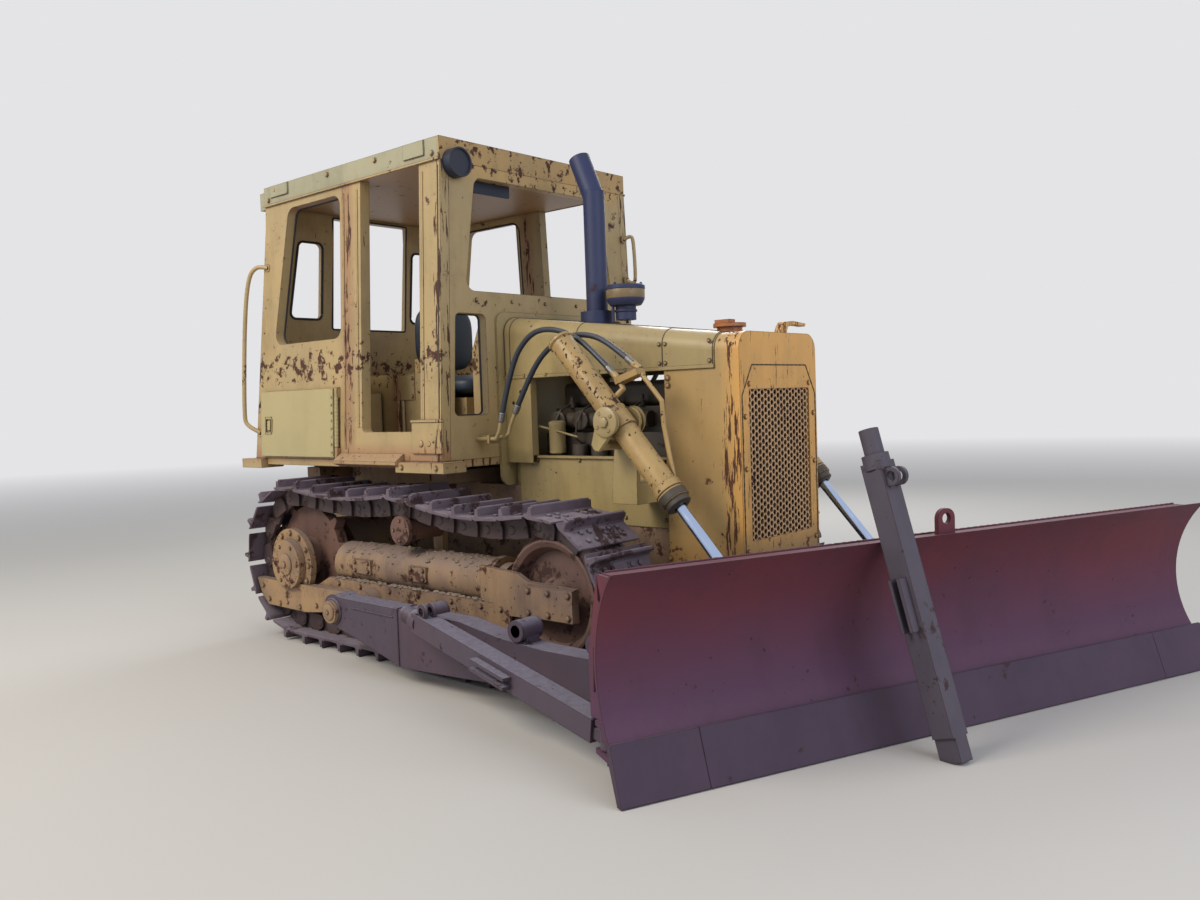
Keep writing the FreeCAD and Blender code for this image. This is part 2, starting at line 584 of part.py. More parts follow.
def cowl():
    """Plate between the cab front and the hood, and the posts under the hood's rear edge."""
    top = HOOD_TOP_REAR + 30
    plate = rounded([(-COWL_HALF, RAIL_Z1), (COWL_HALF, RAIL_Z1), (COWL_HALF, top), (-COWL_HALF, top)], 60,
                    "x", CAB_X1, HOOD_X0)
    foot = box(CAB_X1, HOOD_X0 + 50, -FRAME_HALF + 20, FRAME_HALF - 20, RAIL_Z1, RAIL_Z1 + 160)
    return fuse(plate, foot)


def radiator_guard():
    """Heavy plate nose: sides, rounded top and a front plate with the grille opening."""
    full = rounded([(-NOSE_HALF, NOSE_Z0), (NOSE_HALF, NOSE_Z0), (NOSE_HALF, NOSE_TOP), (-NOSE_HALF, NOSE_TOP)], 80,
                   "x", HOOD_X1, NOSE_X1)
    low = box(NOSE_X0, HOOD_X1, -NOSE_HALF, NOSE_HALF, NOSE_Z0, BELT_Z)
    skirt = box(NOSE_X0, NOSE_X1, -NOSE_HALF, NOSE_HALF, NOSE_Z0, NOSE_Z0 + 90)
    solid = fuse(full, low, skirt)
    t = NOSE_PLATE
    hollow = box(NOSE_X0 - 1, NOSE_X1 - 30, -NOSE_HALF + t, NOSE_HALF - t, NOSE_Z0 - 1, NOSE_TOP - 80)
    cap = rounded([(-NOSE_HALF + t, NOSE_TOP - 300), (NOSE_HALF - t, NOSE_TOP - 300), (NOSE_HALF - t, NOSE_TOP - t),
                   (-NOSE_HALF + t, NOSE_TOP - t)], 68, "x", HOOD_X1 - 1, NOSE_X1 - 30)
    opening = rounded([(-GRILLE_HALF, GRILLE_Z0), (GRILLE_HALF, GRILLE_Z0), (GRILLE_HALF, GRILLE_Z1),
                       (-GRILLE_HALF, GRILLE_Z1)], 12, "x", NOSE_X1 - 40, NOSE_X1 + 1)
    hook = slab(HOOK, "x", HOOK_X0, HOOK_X0 + 36)
    return fuse(solid.cut(hollow).cut(cap).cut(opening), hook)


def grille():
    """Perforated plate: staggered six-sided holes."""
    y_edge, z0, z1 = GRILLE_HALF - SEAT_GAP, GRILLE_Z0 + SEAT_GAP, GRILLE_Z1 - SEAT_GAP
    plate = rounded([(-y_edge, z0), (y_edge, z0), (y_edge, z1), (-y_edge, z1)], 12, "x", NOSE_X1 - 24, NOSE_X1 - 16)
    step_y = 2 * y_edge / (GRILLE_COLUMNS + 0.5)
    step_z = (z1 - z0) / GRILLE_ROWS
    holes = []
    for row in range(GRILLE_ROWS):
        offset = step_y * (0.5 if row % 2 else 0.0)
        for column in range(GRILLE_COLUMNS):
            y = -y_edge + step_y * (column + 0.5) + offset
            z = z0 + step_z * (row + 0.5)
            ring = [(y + GRILLE_HOLE * math.sin(math.pi * k / 3), z + GRILLE_HOLE * math.cos(math.pi * k / 3))
                    for k in range(6)]
            holes.append(slab(ring, "x", NOSE_X1 - 25, NOSE_X1 - 15))
    return plate.cut(group(*holes))


def radiator():
    """Radiator core and tanks behind the grille."""
    x0, x1 = NOSE_X1 - 192, NOSE_X1 - 92
    core = box(x0, x1, -NOSE_HALF + 30, NOSE_HALF - 30, NOSE_Z0 + 60, GRILLE_Z1 + 67)
    feet = box(x0, x1, -NOSE_HALF + NOSE_PLATE, NOSE_HALF - NOSE_PLATE, NOSE_Z0 + 60, NOSE_Z0 + 140)
    return fuse(core, feet)


def exhaust_stack():
    """Upright pipe with a bent outlet, on a flanged base."""
    x, base, top = EXHAUST_X, EXHAUST_BASE, EXHAUST_TOP
    foot = bar((x, 0, base - 60), (x, 0, base + 70), 92)
    pipe = bar((x, 0, base), (x, 0, top - 190), EXHAUST_RADIUS)
    bend = bar((x, 0, top - 220), (x - 95, 0, top), EXHAUST_RADIUS)
    bore = bar((x - 30, 0, top - 150), (x - 102, 0, top + 17), EXHAUST_RADIUS - 6)
    outlet = slab([(x - 300, top - 60), (x - 50, top + 30), (x - 50, top + 140), (x - 300, top + 140)], "y", -100, 100)
    return fuse(foot, pipe, bend).cut(outlet).cut(bore).cut(hood_block(0))


def filler_cap():
    """Radiator filler behind the nose: neck, broad lid and its lever."""
    x, y, z = CAP_AT
    neck = bar((x, y, z - 60), (x, y, z), 60).cut(hood_block(0))
    lid = bar((x, y, z), (x, y, z + 18), 78)
    lever = box(x - 68, x + 14, y - 26, y + 26, z + 18, z + 38)
    return fuse(neck, lid, lever)


def precleaner():
    """Air intake bowl under its lid, on a short neck."""
    x = 1830.0
    neck = bar((x, 0, 1700), (x, 0, 1850), 52).cut(hood_block(0))
    bowl = Part.makeCone(82, 103, 70, Vec(x, 0, 1835))
    lid = Part.makeCone(103, 96, 32, Vec(x, 0, 1905))
    return fuse(neck, bowl, lid)


def cab_side(window_bars=()):
    """Right wall of the cab: posts, sill, window and door opening, with hinge lugs."""
    y0, y1 = -CAB_HALF_BASE, -CAB_HALF_BASE + CAB_WALL
    outline = [(CAB_REAR_BASE_X, CAB_Z0 - 20), (CAB_X1, CAB_Z0 - 20), (CAB_X1, ROOF_Z0 + 40),
               (CAB_REAR_TOP_X, ROOF_Z0 + 40), (CAB_REAR_TOP_X, ROOF_Z0 - 130)]
    wall = slab(outline, "y", y0, y1)
    window = rounded(SIDE_PANE, 65, "y", y0 - 1, y1 + 1)
    door = rounded([(560, 1215), (1070, 1215), (1070, 2800), (560, 2800)], 25, "y", y0 - 1, y1 + 1)
    hatch = box(DOOR_X0 + 45, DOOR_X1 - 45, y0 - 1, y1 + 1, DOOR_Z0 + 40, DOOR_Z1 - 40)
    wall = wall.cut(window).cut(door).cut(hatch)
    lugs = []
    axis_y = y0 - FREE_GAP - DOOR_PLATE / 2
    for z0, z1 in ((DOOR_Z0, DOOR_Z0 + 60), (DOOR_Z1 - 60, DOOR_Z1)):
        lugs.append(box(DOOR_HINGE_X - 8, DOOR_HINGE_X + 14, axis_y, y0, z0, z1))
        lugs.append(bar((DOOR_HINGE_X, axis_y, z0), (DOOR_HINGE_X, axis_y, z1), HINGE_RADIUS))
    lugs.append(bar((DOOR_HINGE_X, axis_y, DOOR_Z0 + 30), (DOOR_HINGE_X, axis_y, DOOR_Z1 - 30), HINGE_PIN))
    lugs += [box(x - 6, x + 6, y0 + 10, y0 + 22, SIDE_SILL - 10, SIDE_HEAD + 10) for x in window_bars]
    wall = leaned(fuse(wall, *lugs))
    return wall.common(box(-700, 1300, -1000, 0, CAB_Z0, ROOF_Z0))


def tool_door():
    """Right tool box door on its upright hinge at the front edge."""
    y0 = -CAB_HALF_BASE - FREE_GAP - DOOR_PLATE
    axis_y = y0 + DOOR_PLATE / 2
    leaf = box(DOOR_X0, DOOR_HINGE_X - 14, y0, y0 + DOOR_PLATE, DOOR_Z0 + 4, DOOR_Z1 - 4)
    strap = box(DOOR_HINGE_X - 14, DOOR_HINGE_X, axis_y - 5, axis_y + 5, DOOR_Z0 + 61, DOOR_Z1 - 61)
    barrel = bar((DOOR_HINGE_X, axis_y, DOOR_Z0 + 61), (DOOR_HINGE_X, axis_y, DOOR_Z1 - 61), HINGE_RADIUS)
    bore = bar((DOOR_HINGE_X, axis_y, DOOR_Z0), (DOOR_HINGE_X, axis_y, DOOR_Z1), HINGE_PIN + PIN_GAP)
    recess = rounded([(DOOR_X0 + 45, DOOR_Z0 + 150), (DOOR_X0 + 135, DOOR_Z0 + 150), (DOOR_X0 + 135, DOOR_Z0 + 230),
                      (DOOR_X0 + 45, DOOR_Z0 + 230)], 12, "y", y0 - 1, y0 + 12)
    return leaned(fuse(leaf, strap, barrel).cut(bore).cut(recess))


def tool_box():
    """Open sheet box behind the tool box door."""
    y0, y1 = -CAB_HALF_BASE + CAB_WALL + 22, -CONSOLE_OUT - CONSOLE_GAP
    x0, x1, z0, z1 = DOOR_X0 + 41, DOOR_X1 - 41, DOOR_Z0 + 36, DOOR_Z1 - 36
    outer = box(x0, x1, y0 - 60, y1, z0, z1)
    inner = box(x0 + 4, x1 - 4, y0 - 61, y1 - 4, z0 + 4, z1 - 4)
    wall = box(x0 - 50, x1 + 50, -CAB_HALF_BASE - 50, -CAB_HALF_BASE + CAB_WALL, z0 - 50, z1 + 50)
    return outer.cut(inner).cut(leaned(wall))


def cab_front():
    """Front wall with the windshield opening and a low window on each side of the cowl."""
    low, high = cab_inner_half(CAB_Z0), cab_inner_half(ROOF_Z0)
    wall = slab([(-low, CAB_Z0), (low, CAB_Z0), (high, ROOF_Z0), (-high, ROOF_Z0)], "x", CAB_X1 - CAB_WALL, CAB_X1)
    wide, narrow = cab_inner_half(1945) - 111, cab_inner_half(2540) - 175
    shield = rounded([(-wide, 1945), (wide, 1945), (narrow, 2540), (-narrow, 2540)], 55, "x", CAB_X1 - 100, CAB_X1 + 1)
    wall = wall.cut(shield)
    inner = COWL_HALF + 65
    for sign in (-1, 1):
        corners = [(sign * inner, 1290), (sign * (cab_inner_half(1290) - 30), 1290),
                   (sign * (cab_inner_half(1825) - 38), 1825), (sign * inner, 1825)]
        wall = wall.cut(rounded(corners[::sign], 30, "x", CAB_X1 - 100, CAB_X1 + 1))
    return wall


def cab_room():
    """Space between the side walls, from floor to roof."""
    low, high = cab_inner_half(CAB_Z0), cab_inner_half(ROOF_Z0)
    return slab([(-low, CAB_Z0), (low, CAB_Z0), (high, ROOF_Z0), (-high, ROOF_Z0)], "x", -700, CAB_X1)


def cab_rear():
    """Sloping rear wall with three panes side by side."""
    side = [(CAB_REAR_BASE_X, CAB_Z0), (CAB_REAR_BASE_X + REAR_WALL, CAB_Z0), (CAB_REAR_TOP_X + REAR_WALL, ROOF_Z0 - 130),
            (CAB_REAR_TOP_X + REAR_WALL, ROOF_Z0), (CAB_REAR_TOP_X, ROOF_Z0), (CAB_REAR_TOP_X, ROOF_Z0 - 130)]
    wall = slab(side, "y", -CAB_HALF_BASE, CAB_HALF_BASE).common(cab_room())
    for sign in (-1, 1):
        low, high = cab_inner_half(1930) - 110, cab_inner_half(2412) - 145
        corners = [(sign * (low - 232), 1930), (sign * low, 1930), (sign * high, 2412), (sign * (low - 232), 2412)]
        wall = wall.cut(rounded(corners[::sign], 36, "x", -700, -200))
    right, left = low - 314, low - 277
    wall = wall.cut(rounded([(-right, 1870), (left, 1870), (left, 2585), (-right, 2585)], 14, "x", -700, -200))
    return wall


def cab_roof():
    """Flat roof box over the walls, with the header box across its rear."""
    roof = box(CAB_REAR_TOP_X - 10, CAB_X1, -CAB_HALF_TOP, CAB_HALF_TOP, ROOF_Z0, ROOF_Z1)
    header = box(CAB_REAR_TOP_X - HEADER_DEPTH, CAB_REAR_TOP_X, -CAB_HALF_TOP + 20, CAB_HALF_TOP - 20, ROOF_Z0 - 7,
                 ROOF_Z1 - 20)
    lugs = []
    for side in (-1, 1):
        y0, y1 = sorted((side * CAB_HALF_TOP, side * (CAB_HALF_TOP + 9)))
        lugs += [box(x0, x1, y0, y1, z0, ROOF_Z1 - 3) for x0, x1, z0 in ROOF_LUGS]
    return fuse(roof, header, *lugs)


def lamp():
    """Round work lamp on the cab's right front corner: bezel and recessed lens."""
    y, z = LAMP_AT
    body = bar((CAB_X1, y, z), (CAB_X1 + 58, y, z), LAMP_RADIUS)
    recess = bar((CAB_X1 + 50, y, z), (CAB_X1 + 60, y, z), LAMP_RADIUS - 10)
    return body.cut(recess)


def visor():
    """Dark sun visor behind the upper right corner of the windshield opening."""
    x1 = CAB_X1 - CAB_WALL
    y0, y1, z0, z1 = VISOR
    return rounded([(y0, z0), (y1, z0), (y1, z1), (y0, z1)], 12, "x", x1 - 14, x1)


def cab_floor():
    """Floor plate with side sills, on four mounts over the frame."""
    plate = box(CAB_REAR_BASE_X, CAB_X1, -CAB_HALF_BASE, CAB_HALF_BASE, FLOOR_Z0, CAB_Z0)
    tread = [(-CAB_HALF_BASE, FLOOR_Z0), (-CAB_HALF_BASE - 60, FLOOR_Z0 + 20), (-CAB_HALF_BASE - 60, CAB_Z0 - 2),
             (-CAB_HALF_BASE - 2, CAB_Z0 + 38), (-CAB_HALF_BASE + 20, CAB_Z0 - 10), (-CAB_HALF_BASE + 20, FLOOR_Z0)]
    pieces = [plate]
    for side in (1, -1):
        outline = [(y * side, z) for y, z in tread]
        pieces.append(slab(outline[::side], "x", 362, 930).cut(box(340, 940, -CAB_HALF_BASE, CAB_HALF_BASE, CAB_Z0,
                                                                           CAB_Z0 + 140)))
        for x0, x1 in ((-655, -430), (905, 1300)):
            y0, y1 = sorted((-side * (CAB_HALF_BASE - 110), -side * (CAB_HALF_BASE + 42)))
            pieces.append(box(x0, x1, y0, y1, FLOOR_Z0 - 20, CAB_Z0 - 4))
    mounts = [bar((x, y, CASE_TOP), (x, y, FLOOR_Z0), 55) for x in (-330, 900) for y in (-470, 470)]
    return fuse(*pieces, *mounts)


def seat():
    """Cushion and back, and the pedestal they sit on."""
    z = SEAT_Z
    pedestal = box(330, 800, -230, 190, CAB_Z0, z)
    cushion = rounded([(320, -260), (850, -260), (850, 220), (320, 220)], 60, "z", z + SEAT_GAP, z + 140)
    back = rounded([(-240, z + 170), (200, z + 170), (200, z + 570), (-240, z + 570)], 60, "x", 320 + SEAT_GAP, 430)
    post = box(250, 320, -160, 120, CAB_Z0, z + 250)
    return fuse(pedestal, box(250, 330, -160, 120, CAB_Z0, CAB_Z0 + 140), post), cushion, back


def consoles():
    """Boxes beside the seat and the instrument cowl ahead of it."""
    side = [(100, CAB_Z0), (760, CAB_Z0), (760, 1440), (640, 1540), (100, 1540)]
    right = slab(side, "y", -CONSOLE_OUT, -300)
    left = slab(side, "y", 260, CONSOLE_OUT)
    dash = slab([(1030, CAB_Z0), (1177, CAB_Z0), (1177, 1790), (1100, 1800), (1030, 1640)], "y", -380, 380)
    levers = [bar((x, y, 1530), (x + lean, y, 1760), 9) for x, y, lean in ((560, -370, 40), (650, -370, 50), (600, 350, 30))]
    return group(fuse(right, levers[0], levers[1]), fuse(left, levers[2]), dash)


def grab_rails():
    """Bent tube rail on the rear right corner and the loops on the front posts."""
    right = [(x, -cab_outer_half(z) - out, z) for x, out, z in RAIL_RIGHT]
    pieces = [bar(right[i], right[i + 1], 13) for i in range(6)]
    pieces += [Part.makeSphere(13, Vec(*p)) for p in right[1:6]]
    rail = fuse(*pieces).cut(cab_side())
    rail = max(rail.Solids, key=lambda solid: solid.Volume)
    loop = [(CAB_X1 + ahead, cab_outer_half(z) + out, z) for ahead, out, z in RAIL_LEFT]
    parts = [bar(loop[i], loop[i + 1], 11) for i in range(3)] + [Part.makeSphere(11, Vec(*p)) for p in loop[1:3]]
    return group(rail, mirrored(rail), fuse(*parts).cut(mirrored(cab_side())))


def cylinder_bracket():
    """Yoke that carries a lift cylinder's trunnion, on a column from the frame."""
    inner_y1, inner_y0 = CYL_Y + BARREL_RADIUS + 34, CYL_Y + BARREL_RADIUS + 10
    outer_y1, outer_y0 = CYL_Y - BARREL_RADIUS - 10, CYL_Y - BARREL_RADIUS - 32
    x, z = TRUNNION_X, TRUNNION_Z
    turn = math.radians(240)
    bx, bz = x + 120 * math.cos(turn), z + 120 * math.sin(turn)
    ears = []
    for y0, y1 in ((inner_y0, inner_y1), (outer_y0, outer_y1)):
        ears.append(bar_y(x, z, 62, y0, y1))
        ears.append(slab([(x - 58, z + 10), (bx - 32, bz), (bx + 10, bz - 30), (x + 58, z - 20)], "y", y0, y1))
    bridge = bar_y(bx, bz, 26, outer_y0, inner_y1)
    low, high = RAIL_Z1 - 40, RAIL_Z1 + 60
    column = slab([(x - 75, z - 20), (x + 55, z - 20), (x + 40, high), (x - 110, high)], "y", inner_y0, inner_y1)
    foot = box(x - 110, x + 40, inner_y0, -FRAME_HALF - SHEET, low, high)
    bore = bar_y(x, z, 30 + PIN_GAP, outer_y0 - 1, inner_y1 + 1)
    return fuse(*ears, bridge, column, foot).cut(bore)


def cylinder_line():
    """Trunnion, rod eye and the unit vector between them."""
    trunnion = Vec(TRUNNION_X, CYL_Y, TRUNNION_Z)
    eye = Vec(ROD_EYE_X, CYL_Y, ROD_EYE_Z)
    return trunnion, eye, (eye - trunnion).normalize()


def beyond(route, reach):
    """Point that carries a route's last run on by a reach."""
    before, last = Vec(*route[-2]), Vec(*route[-1])
    return tuple(last + (last - before).normalize() * reach)


def rigid_tube(route, radius):
    """Straight lengths of steel tube with a ball at each bend."""
    lengths = [bar(route[i], route[i + 1], radius) for i in range(len(route) - 1)]
    return lengths + [Part.makeSphere(radius, Vec(*point)) for point in route[1:-1]]


def hose(route):
    """Hose along straight runs joined by tangent arcs, each as large as its two runs allow."""
    points = [Vec(*point) for point in (beyond(route[::-1], -SEAT_GAP), *route[1:-1], beyond(route, -SEAT_GAP))]
    edges, start = [], points[0]
    for i in range(1, len(points) - 1):
        back, ahead = (points[i - 1] - points[i]), (points[i + 1] - points[i])
        reach = 0.45 * min(back.Length, ahead.Length)
        back, ahead = back.normalize(), ahead.normalize()
        half = back.getAngle(ahead) / 2
        radius = reach * math.tan(half)
        middle = points[i] + (back + ahead).normalize() * (radius / math.sin(half) - radius)
        edges.append(Part.LineSegment(start, points[i] + back * reach).toShape())
        edges.append(Part.Arc(points[i] + back * reach, middle, points[i] + ahead * reach).toShape())
        start = points[i] + ahead * reach
        print(f"  hose bend {i}: radius {radius:.0f}")
    edges.append(Part.LineSegment(start, points[-1]).toShape())
    path = Part.Wire(edges)
    ring = Part.Wire(Part.makeCircle(HOSE_RADIUS, points[0], points[1] - points[0]))
    tube = path.makePipeShell([ring], True, False)
    print(f"  hose length {path.Length:.0f}, volume over section {tube.Volume / (math.pi * HOSE_RADIUS ** 2):.0f}")
    return tube


def lift_pipes():
    """Steel pipes from the cab front to the lift hoses, clipped together, on both sides."""
    clip = box(1330, 1348, -568, -496, 1140, 1186)
    outer = PIPE_OUTER + (beyond(HOSE_OUTER[::-1], 60.0), HOSE_OUTER[0])
    inner = PIPE_INNER + (beyond(HOSE_INNER[::-1], 80.0), HOSE_INNER[0])
    pair = fuse(clip, *rigid_tube(outer, 11.0), *rigid_tube(inner, 11.0))
    return group(pair, mirrored(pair))


def lift_barrel():
    """Cylinder barrel with trunnion pins, gland, the bore its rod runs in, port block and tubes."""
    at, eye, way = cylinder_line()
    top = at - way * BARREL_ABOVE
    gland = at + way * BARREL_BELOW
    body = Part.makeCylinder(BARREL_RADIUS, BARREL_ABOVE + BARREL_BELOW, top, way)
    collar = Part.makeCylinder(BARREL_RADIUS + 9, 45, gland - way * 45, way)
    band = Part.makeCylinder(BARREL_RADIUS + 8, 110, at - way * 55, way)
    pins = bar_y(TRUNNION_X, TRUNNION_Z, 30, CYL_Y - BARREL_RADIUS - 36, CYL_Y + BARREL_RADIUS + 34)
    depth = ROD_INSIDE + STROKE
    bore = Part.makeCylinder(ROD_RADIUS + PIN_GAP, depth, gland - way * (depth - 1), way)
    block = slab(PORT_BLOCK, "y", PORT_Y - 30, PORT_Y + 30)
    parts = [block]
    outer_end, inner_end = ((route[-1], beyond(route, 56.0)) for route in (HOSE_OUTER, HOSE_INNER))
    for route, radius in ((ELBOW, 13.0), (LONG_TUBE, 11.0), (outer_end, HOSE_RADIUS + 3), (inner_end, HOSE_RADIUS + 3)):
        parts += rigid_tube(route, radius)
    return fuse(body, collar, band, pins, *parts).cut(bore)


def lift_rod():
    """Chromed rod with the eye at its foot."""
    at, eye, way = cylinder_line()
    start = at + way * (BARREL_BELOW - ROD_INSIDE)
    rod = Part.makeCylinder(ROD_RADIUS, (eye - start).Length - 30, start, way)
    ring = bar_y(ROD_EYE_X, ROD_EYE_Z, EYE_RADIUS, CYL_Y - EYE_HALF, CYL_Y + EYE_HALF)
    pin = bar_y(ROD_EYE_X, ROD_EYE_Z, 22, CYL_Y - EYE_HALF - 3, CYL_Y + EYE_HALF + 3)
    return fuse(rod, ring, pin)


def c_frame():
    """Arms outside the tracks, turned in ahead of them to the nose beam and pivot eye."""
    turn_y = ARM_OUT_Y + (BEAM_X1 - ARM_TURN_X)
    outer_r = BEAM_X1 - ARM_TURN_X
    inner_r = outer_r - ARM_WIDTH
    x0, x1 = ARM_TURN_X - 150, ARM_TURN_X + inner_r
    s = math.sqrt(0.5)
    pts = [Vec(x0, ARM_OUT_Y, 0), Vec(ARM_TURN_X, ARM_OUT_Y, 0), Vec(ARM_TURN_X + outer_r * s, turn_y - outer_r * s, 0),
           Vec(BEAM_X1, turn_y, 0), Vec(BEAM_X1, 0, 0), Vec(x1, 0, 0), Vec(x1, turn_y, 0),
           Vec(ARM_TURN_X + inner_r * s, turn_y - inner_r * s, 0), Vec(ARM_TURN_X, ARM_OUT_Y + ARM_WIDTH, 0),
           Vec(x0, ARM_OUT_Y + ARM_WIDTH, 0)]
    edges = [Part.LineSegment(pts[0], pts[1]).toShape(), Part.Arc(pts[1], pts[2], pts[3]).toShape(),
             Part.LineSegment(pts[3], pts[4]).toShape(), Part.LineSegment(pts[4], pts[5]).toShape(),
             Part.LineSegment(pts[5], pts[6]).toShape(), Part.Arc(pts[6], pts[7], pts[8]).toShape(),
             Part.LineSegment(pts[8], pts[9]).toShape(), Part.LineSegment(pts[9], pts[0]).toShape()]
    beam = flat(edges, "z", ARM_Z0, ARM_Z1)
    arm = slab(ARM_SIDE, "y", ARM_OUT_Y, ARM_OUT_Y + ARM_WIDTH)
    hub = bar_y(LIFT_X, LIFT_Z, 88, ARM_OUT_Y, ARM_OUT_Y + ARM_WIDTH)
    sockets = []
    for x in SOCKET_XS:
        saddle = box(x - 42, x + 42, ARM_OUT_Y + 20, ARM_OUT_Y + 100, ARM_Z1 - 5, SOCKET_Z)
        sockets += [saddle, bar_y(x, SOCKET_Z, SOCKET_RADIUS, ARM_OUT_Y, ARM_OUT_Y + 115)]
    lugs = []
    for y0 in (CYL_Y - EYE_HALF - FREE_GAP - 16, CYL_Y + EYE_HALF + FREE_GAP):
        ear = bar_y(ROD_EYE_X, ROD_EYE_Z, 52, y0, y0 + 16)
        root = slab([(ROD_EYE_X - 60, ARM_Z1 - 5), (ROD_EYE_X + 60, ARM_Z1 - 5), (ROD_EYE_X + 50, ROD_EYE_Z),
                     (ROD_EYE_X - 50, ROD_EYE_Z)], "y", y0, y0 + 16)
        lugs += [ear, root]
    half = fuse(beam, arm, hub, *sockets, *lugs)
    bores = [bar_y(x, SOCKET_Z, SOCKET_BORE, ARM_OUT_Y - 1, ARM_OUT_Y + 116) for x in SOCKET_XS]
    bores.append(bar_y(LIFT_X, LIFT_Z, LIFT_PIN + PIN_GAP, ARM_OUT_Y - 1, ARM_OUT_Y + ARM_WIDTH + 1))
    for z0, z1 in ((ARM_Z0 - 1, PIVOT_Z0), (PIVOT_Z1, ARM_Z1 + 1)):
        bores.append(bar((PIVOT_X, 0, z0), (PIVOT_X, 0, z1), PIVOT_EYE + FREE_GAP))
    half = half.cut(group(*bores))
    neck = box(BEAM_X1 - 10, PIVOT_X, -PIVOT_EYE, PIVOT_EYE, PIVOT_Z0, PIVOT_Z1)
    eye = bar((PIVOT_X, 0, PIVOT_Z0), (PIVOT_X, 0, PIVOT_Z1), PIVOT_EYE)
    pin = bar((PIVOT_X, 0, PIVOT_Z0 - 45), (PIVOT_X, 0, PIVOT_Z1 + 45), PIVOT_PIN)
    return fuse(half, mirrored(half), neck, eye, pin)


def blade_arc(offset):
    """Points of the blade's face curve: foot, deepest point and lip, set back by an offset."""
    return (FOOT_S - offset, FOOT_Z), (DEEP_S - offset, 0.52 * (FOOT_Z + BLADE_TOP)), (LIP_S - offset, BLADE_TOP)


def blade_profile(front, back):
    """Wire between two face curves set back by different offsets, drawn as (s, z)."""
    f, b = blade_arc(front), blade_arc(back)
    return [Part.Arc(Vec(*f[0], 0), Vec(*f[1], 0), Vec(*f[2], 0)).toShape(),
            Part.LineSegment(Vec(*f[2], 0), Vec(*b[2], 0)).toShape(),
            Part.Arc(Vec(*b[2], 0), Vec(*b[1], 0), Vec(*b[0], 0)).toShape(),
            Part.LineSegment(Vec(*b[0], 0), Vec(*f[0], 0)).toShape()]


def blade_plate():
    """Curved face plate of the blade, with the lifting eye on its top edge."""
    plate = flat(blade_profile(0, BLADE_PLATE), "y", -BLADE_WIDTH / 2, BLADE_WIDTH / 2)
    eye_w = -35.0
    s0 = LIP_S - 52
    tongue = rounded([(eye_w - 45, BLADE_TOP - 60), (eye_w + 45, BLADE_TOP - 60), (eye_w + 45, BLADE_TOP + 98),
                      (eye_w - 45, BLADE_TOP + 98)], 40, "x", s0, s0 + 20)
    hole = bar((s0 - 1, eye_w, BLADE_TOP + 58), (s0 + 21, eye_w, BLADE_TOP + 58), 22)
    below = box(s0 - 1, s0 + 21, eye_w - 50, eye_w + 50, BLADE_TOP - 61, BLADE_TOP - 12)
    return on_blade(group(plate, tongue.cut(hole).cut(below)))


def blade_back():
    """Ribs, beams and hinge plates behind the face plate."""
    half = BLADE_WIDTH / 2
    gap = BLADE_PLATE
    lower = box(BACK_S + 20, FOOT_S - gap - 30, -half + 30, half - 30, FOOT_Z, FOOT_Z + 150)
    top = box(LIP_S - 130, LIP_S - gap - 25, -half + 30, half - 30, BLADE_TOP - 95, BLADE_TOP - 12)
    pieces = [lower, top]
    side = [(BACK_S + 20, FOOT_Z + 20), (FOOT_S, FOOT_Z + 20), (LIP_S, BLADE_TOP - 15), (LIP_S - 130, BLADE_TOP - 15),
            (BACK_S + 20, FOOT_Z + 320)]
    for w in (-half + 10, -1050, -600, -160, 160, 600, 1050, half - 30):
        pieces.append(slab(side, "y", w, w + 20))
    back = fuse(*pieces)
    hinge = []
    for z0 in (PIVOT_Z0 - FREE_GAP - 22, PIVOT_Z1 + FREE_GAP):
        web = slab([(0, -PIVOT_EYE), (BACK_S + 40, -230), (BACK_S + 40, 230), (0, PIVOT_EYE)], "z", z0, z0 + 22)
        hinge += [web, bar((0, 0, z0), (0, 0, z0 + 22), PIVOT_EYE)]
    hole = bar((0, 0, 100), (0, 0, 400), PIVOT_PIN + PIN_GAP)
    jaws = []
    for sign in (-1, 1):
        w = sign * BRACE_W
        for z0 in (BRACE_Z - 34 - FREE_GAP - 20, BRACE_Z + 34 + FREE_GAP):
            jaws.append(slab([(BRACE_S - 55, w - 55), (FOOT_S - 60, w - 75), (FOOT_S - 60, w + 75), (BRACE_S - 55, w + 55)],
                             "z", z0, z0 + 20))
    right_pin = bar((BRACE_S, BRACE_W, BRACE_Z - 60), (BRACE_S, BRACE_W, BRACE_Z + 60), 24)
    walls = box(BACK_S + 20, FOOT_S - gap - 30, -half + 30, half - 30, BRACE_Z - 60, FOOT_Z + 10)
    pocket = [box(BACK_S, BRACE_S + 80, min(w, w + 180), max(w, w + 180), BRACE_Z - 61, BRACE_Z + 100)
              for w in (-half, half - 180)]
    body = fuse(back, walls).cut(group(*pocket))
    ahead = flat(blade_profile(-400, gap + SEAT_GAP), "y", -half - 10, half + 10)
    return on_blade(fuse(body, *hinge, *jaws, right_pin).cut(hole).cut(ahead))


def cutting_edge():
    """Straight edge and end bits bolted along the blade's foot."""
    half = BLADE_WIDTH / 2
    side = [(FOOT_S - BLADE_PLATE, FOOT_Z), (FOOT_S, FOOT_Z + 40), (FOOT_S + 10, FOOT_Z + 40),
            (EDGE_S, BLADE_EDGE_Z), (EDGE_S - 28, BLADE_EDGE_Z)]
    behind = flat(blade_profile(-SEAT_GAP, 300), "y", -half - 20, half + 20)
    pieces = []
    for w0, w1 in ((-half - 12, -half + 338), (-half + 340, half - 340), (half - 338, half + 12)):
        pieces.append(slab(side, "y", w0, w1).cut(behind))
    return on_blade(group(*pieces))


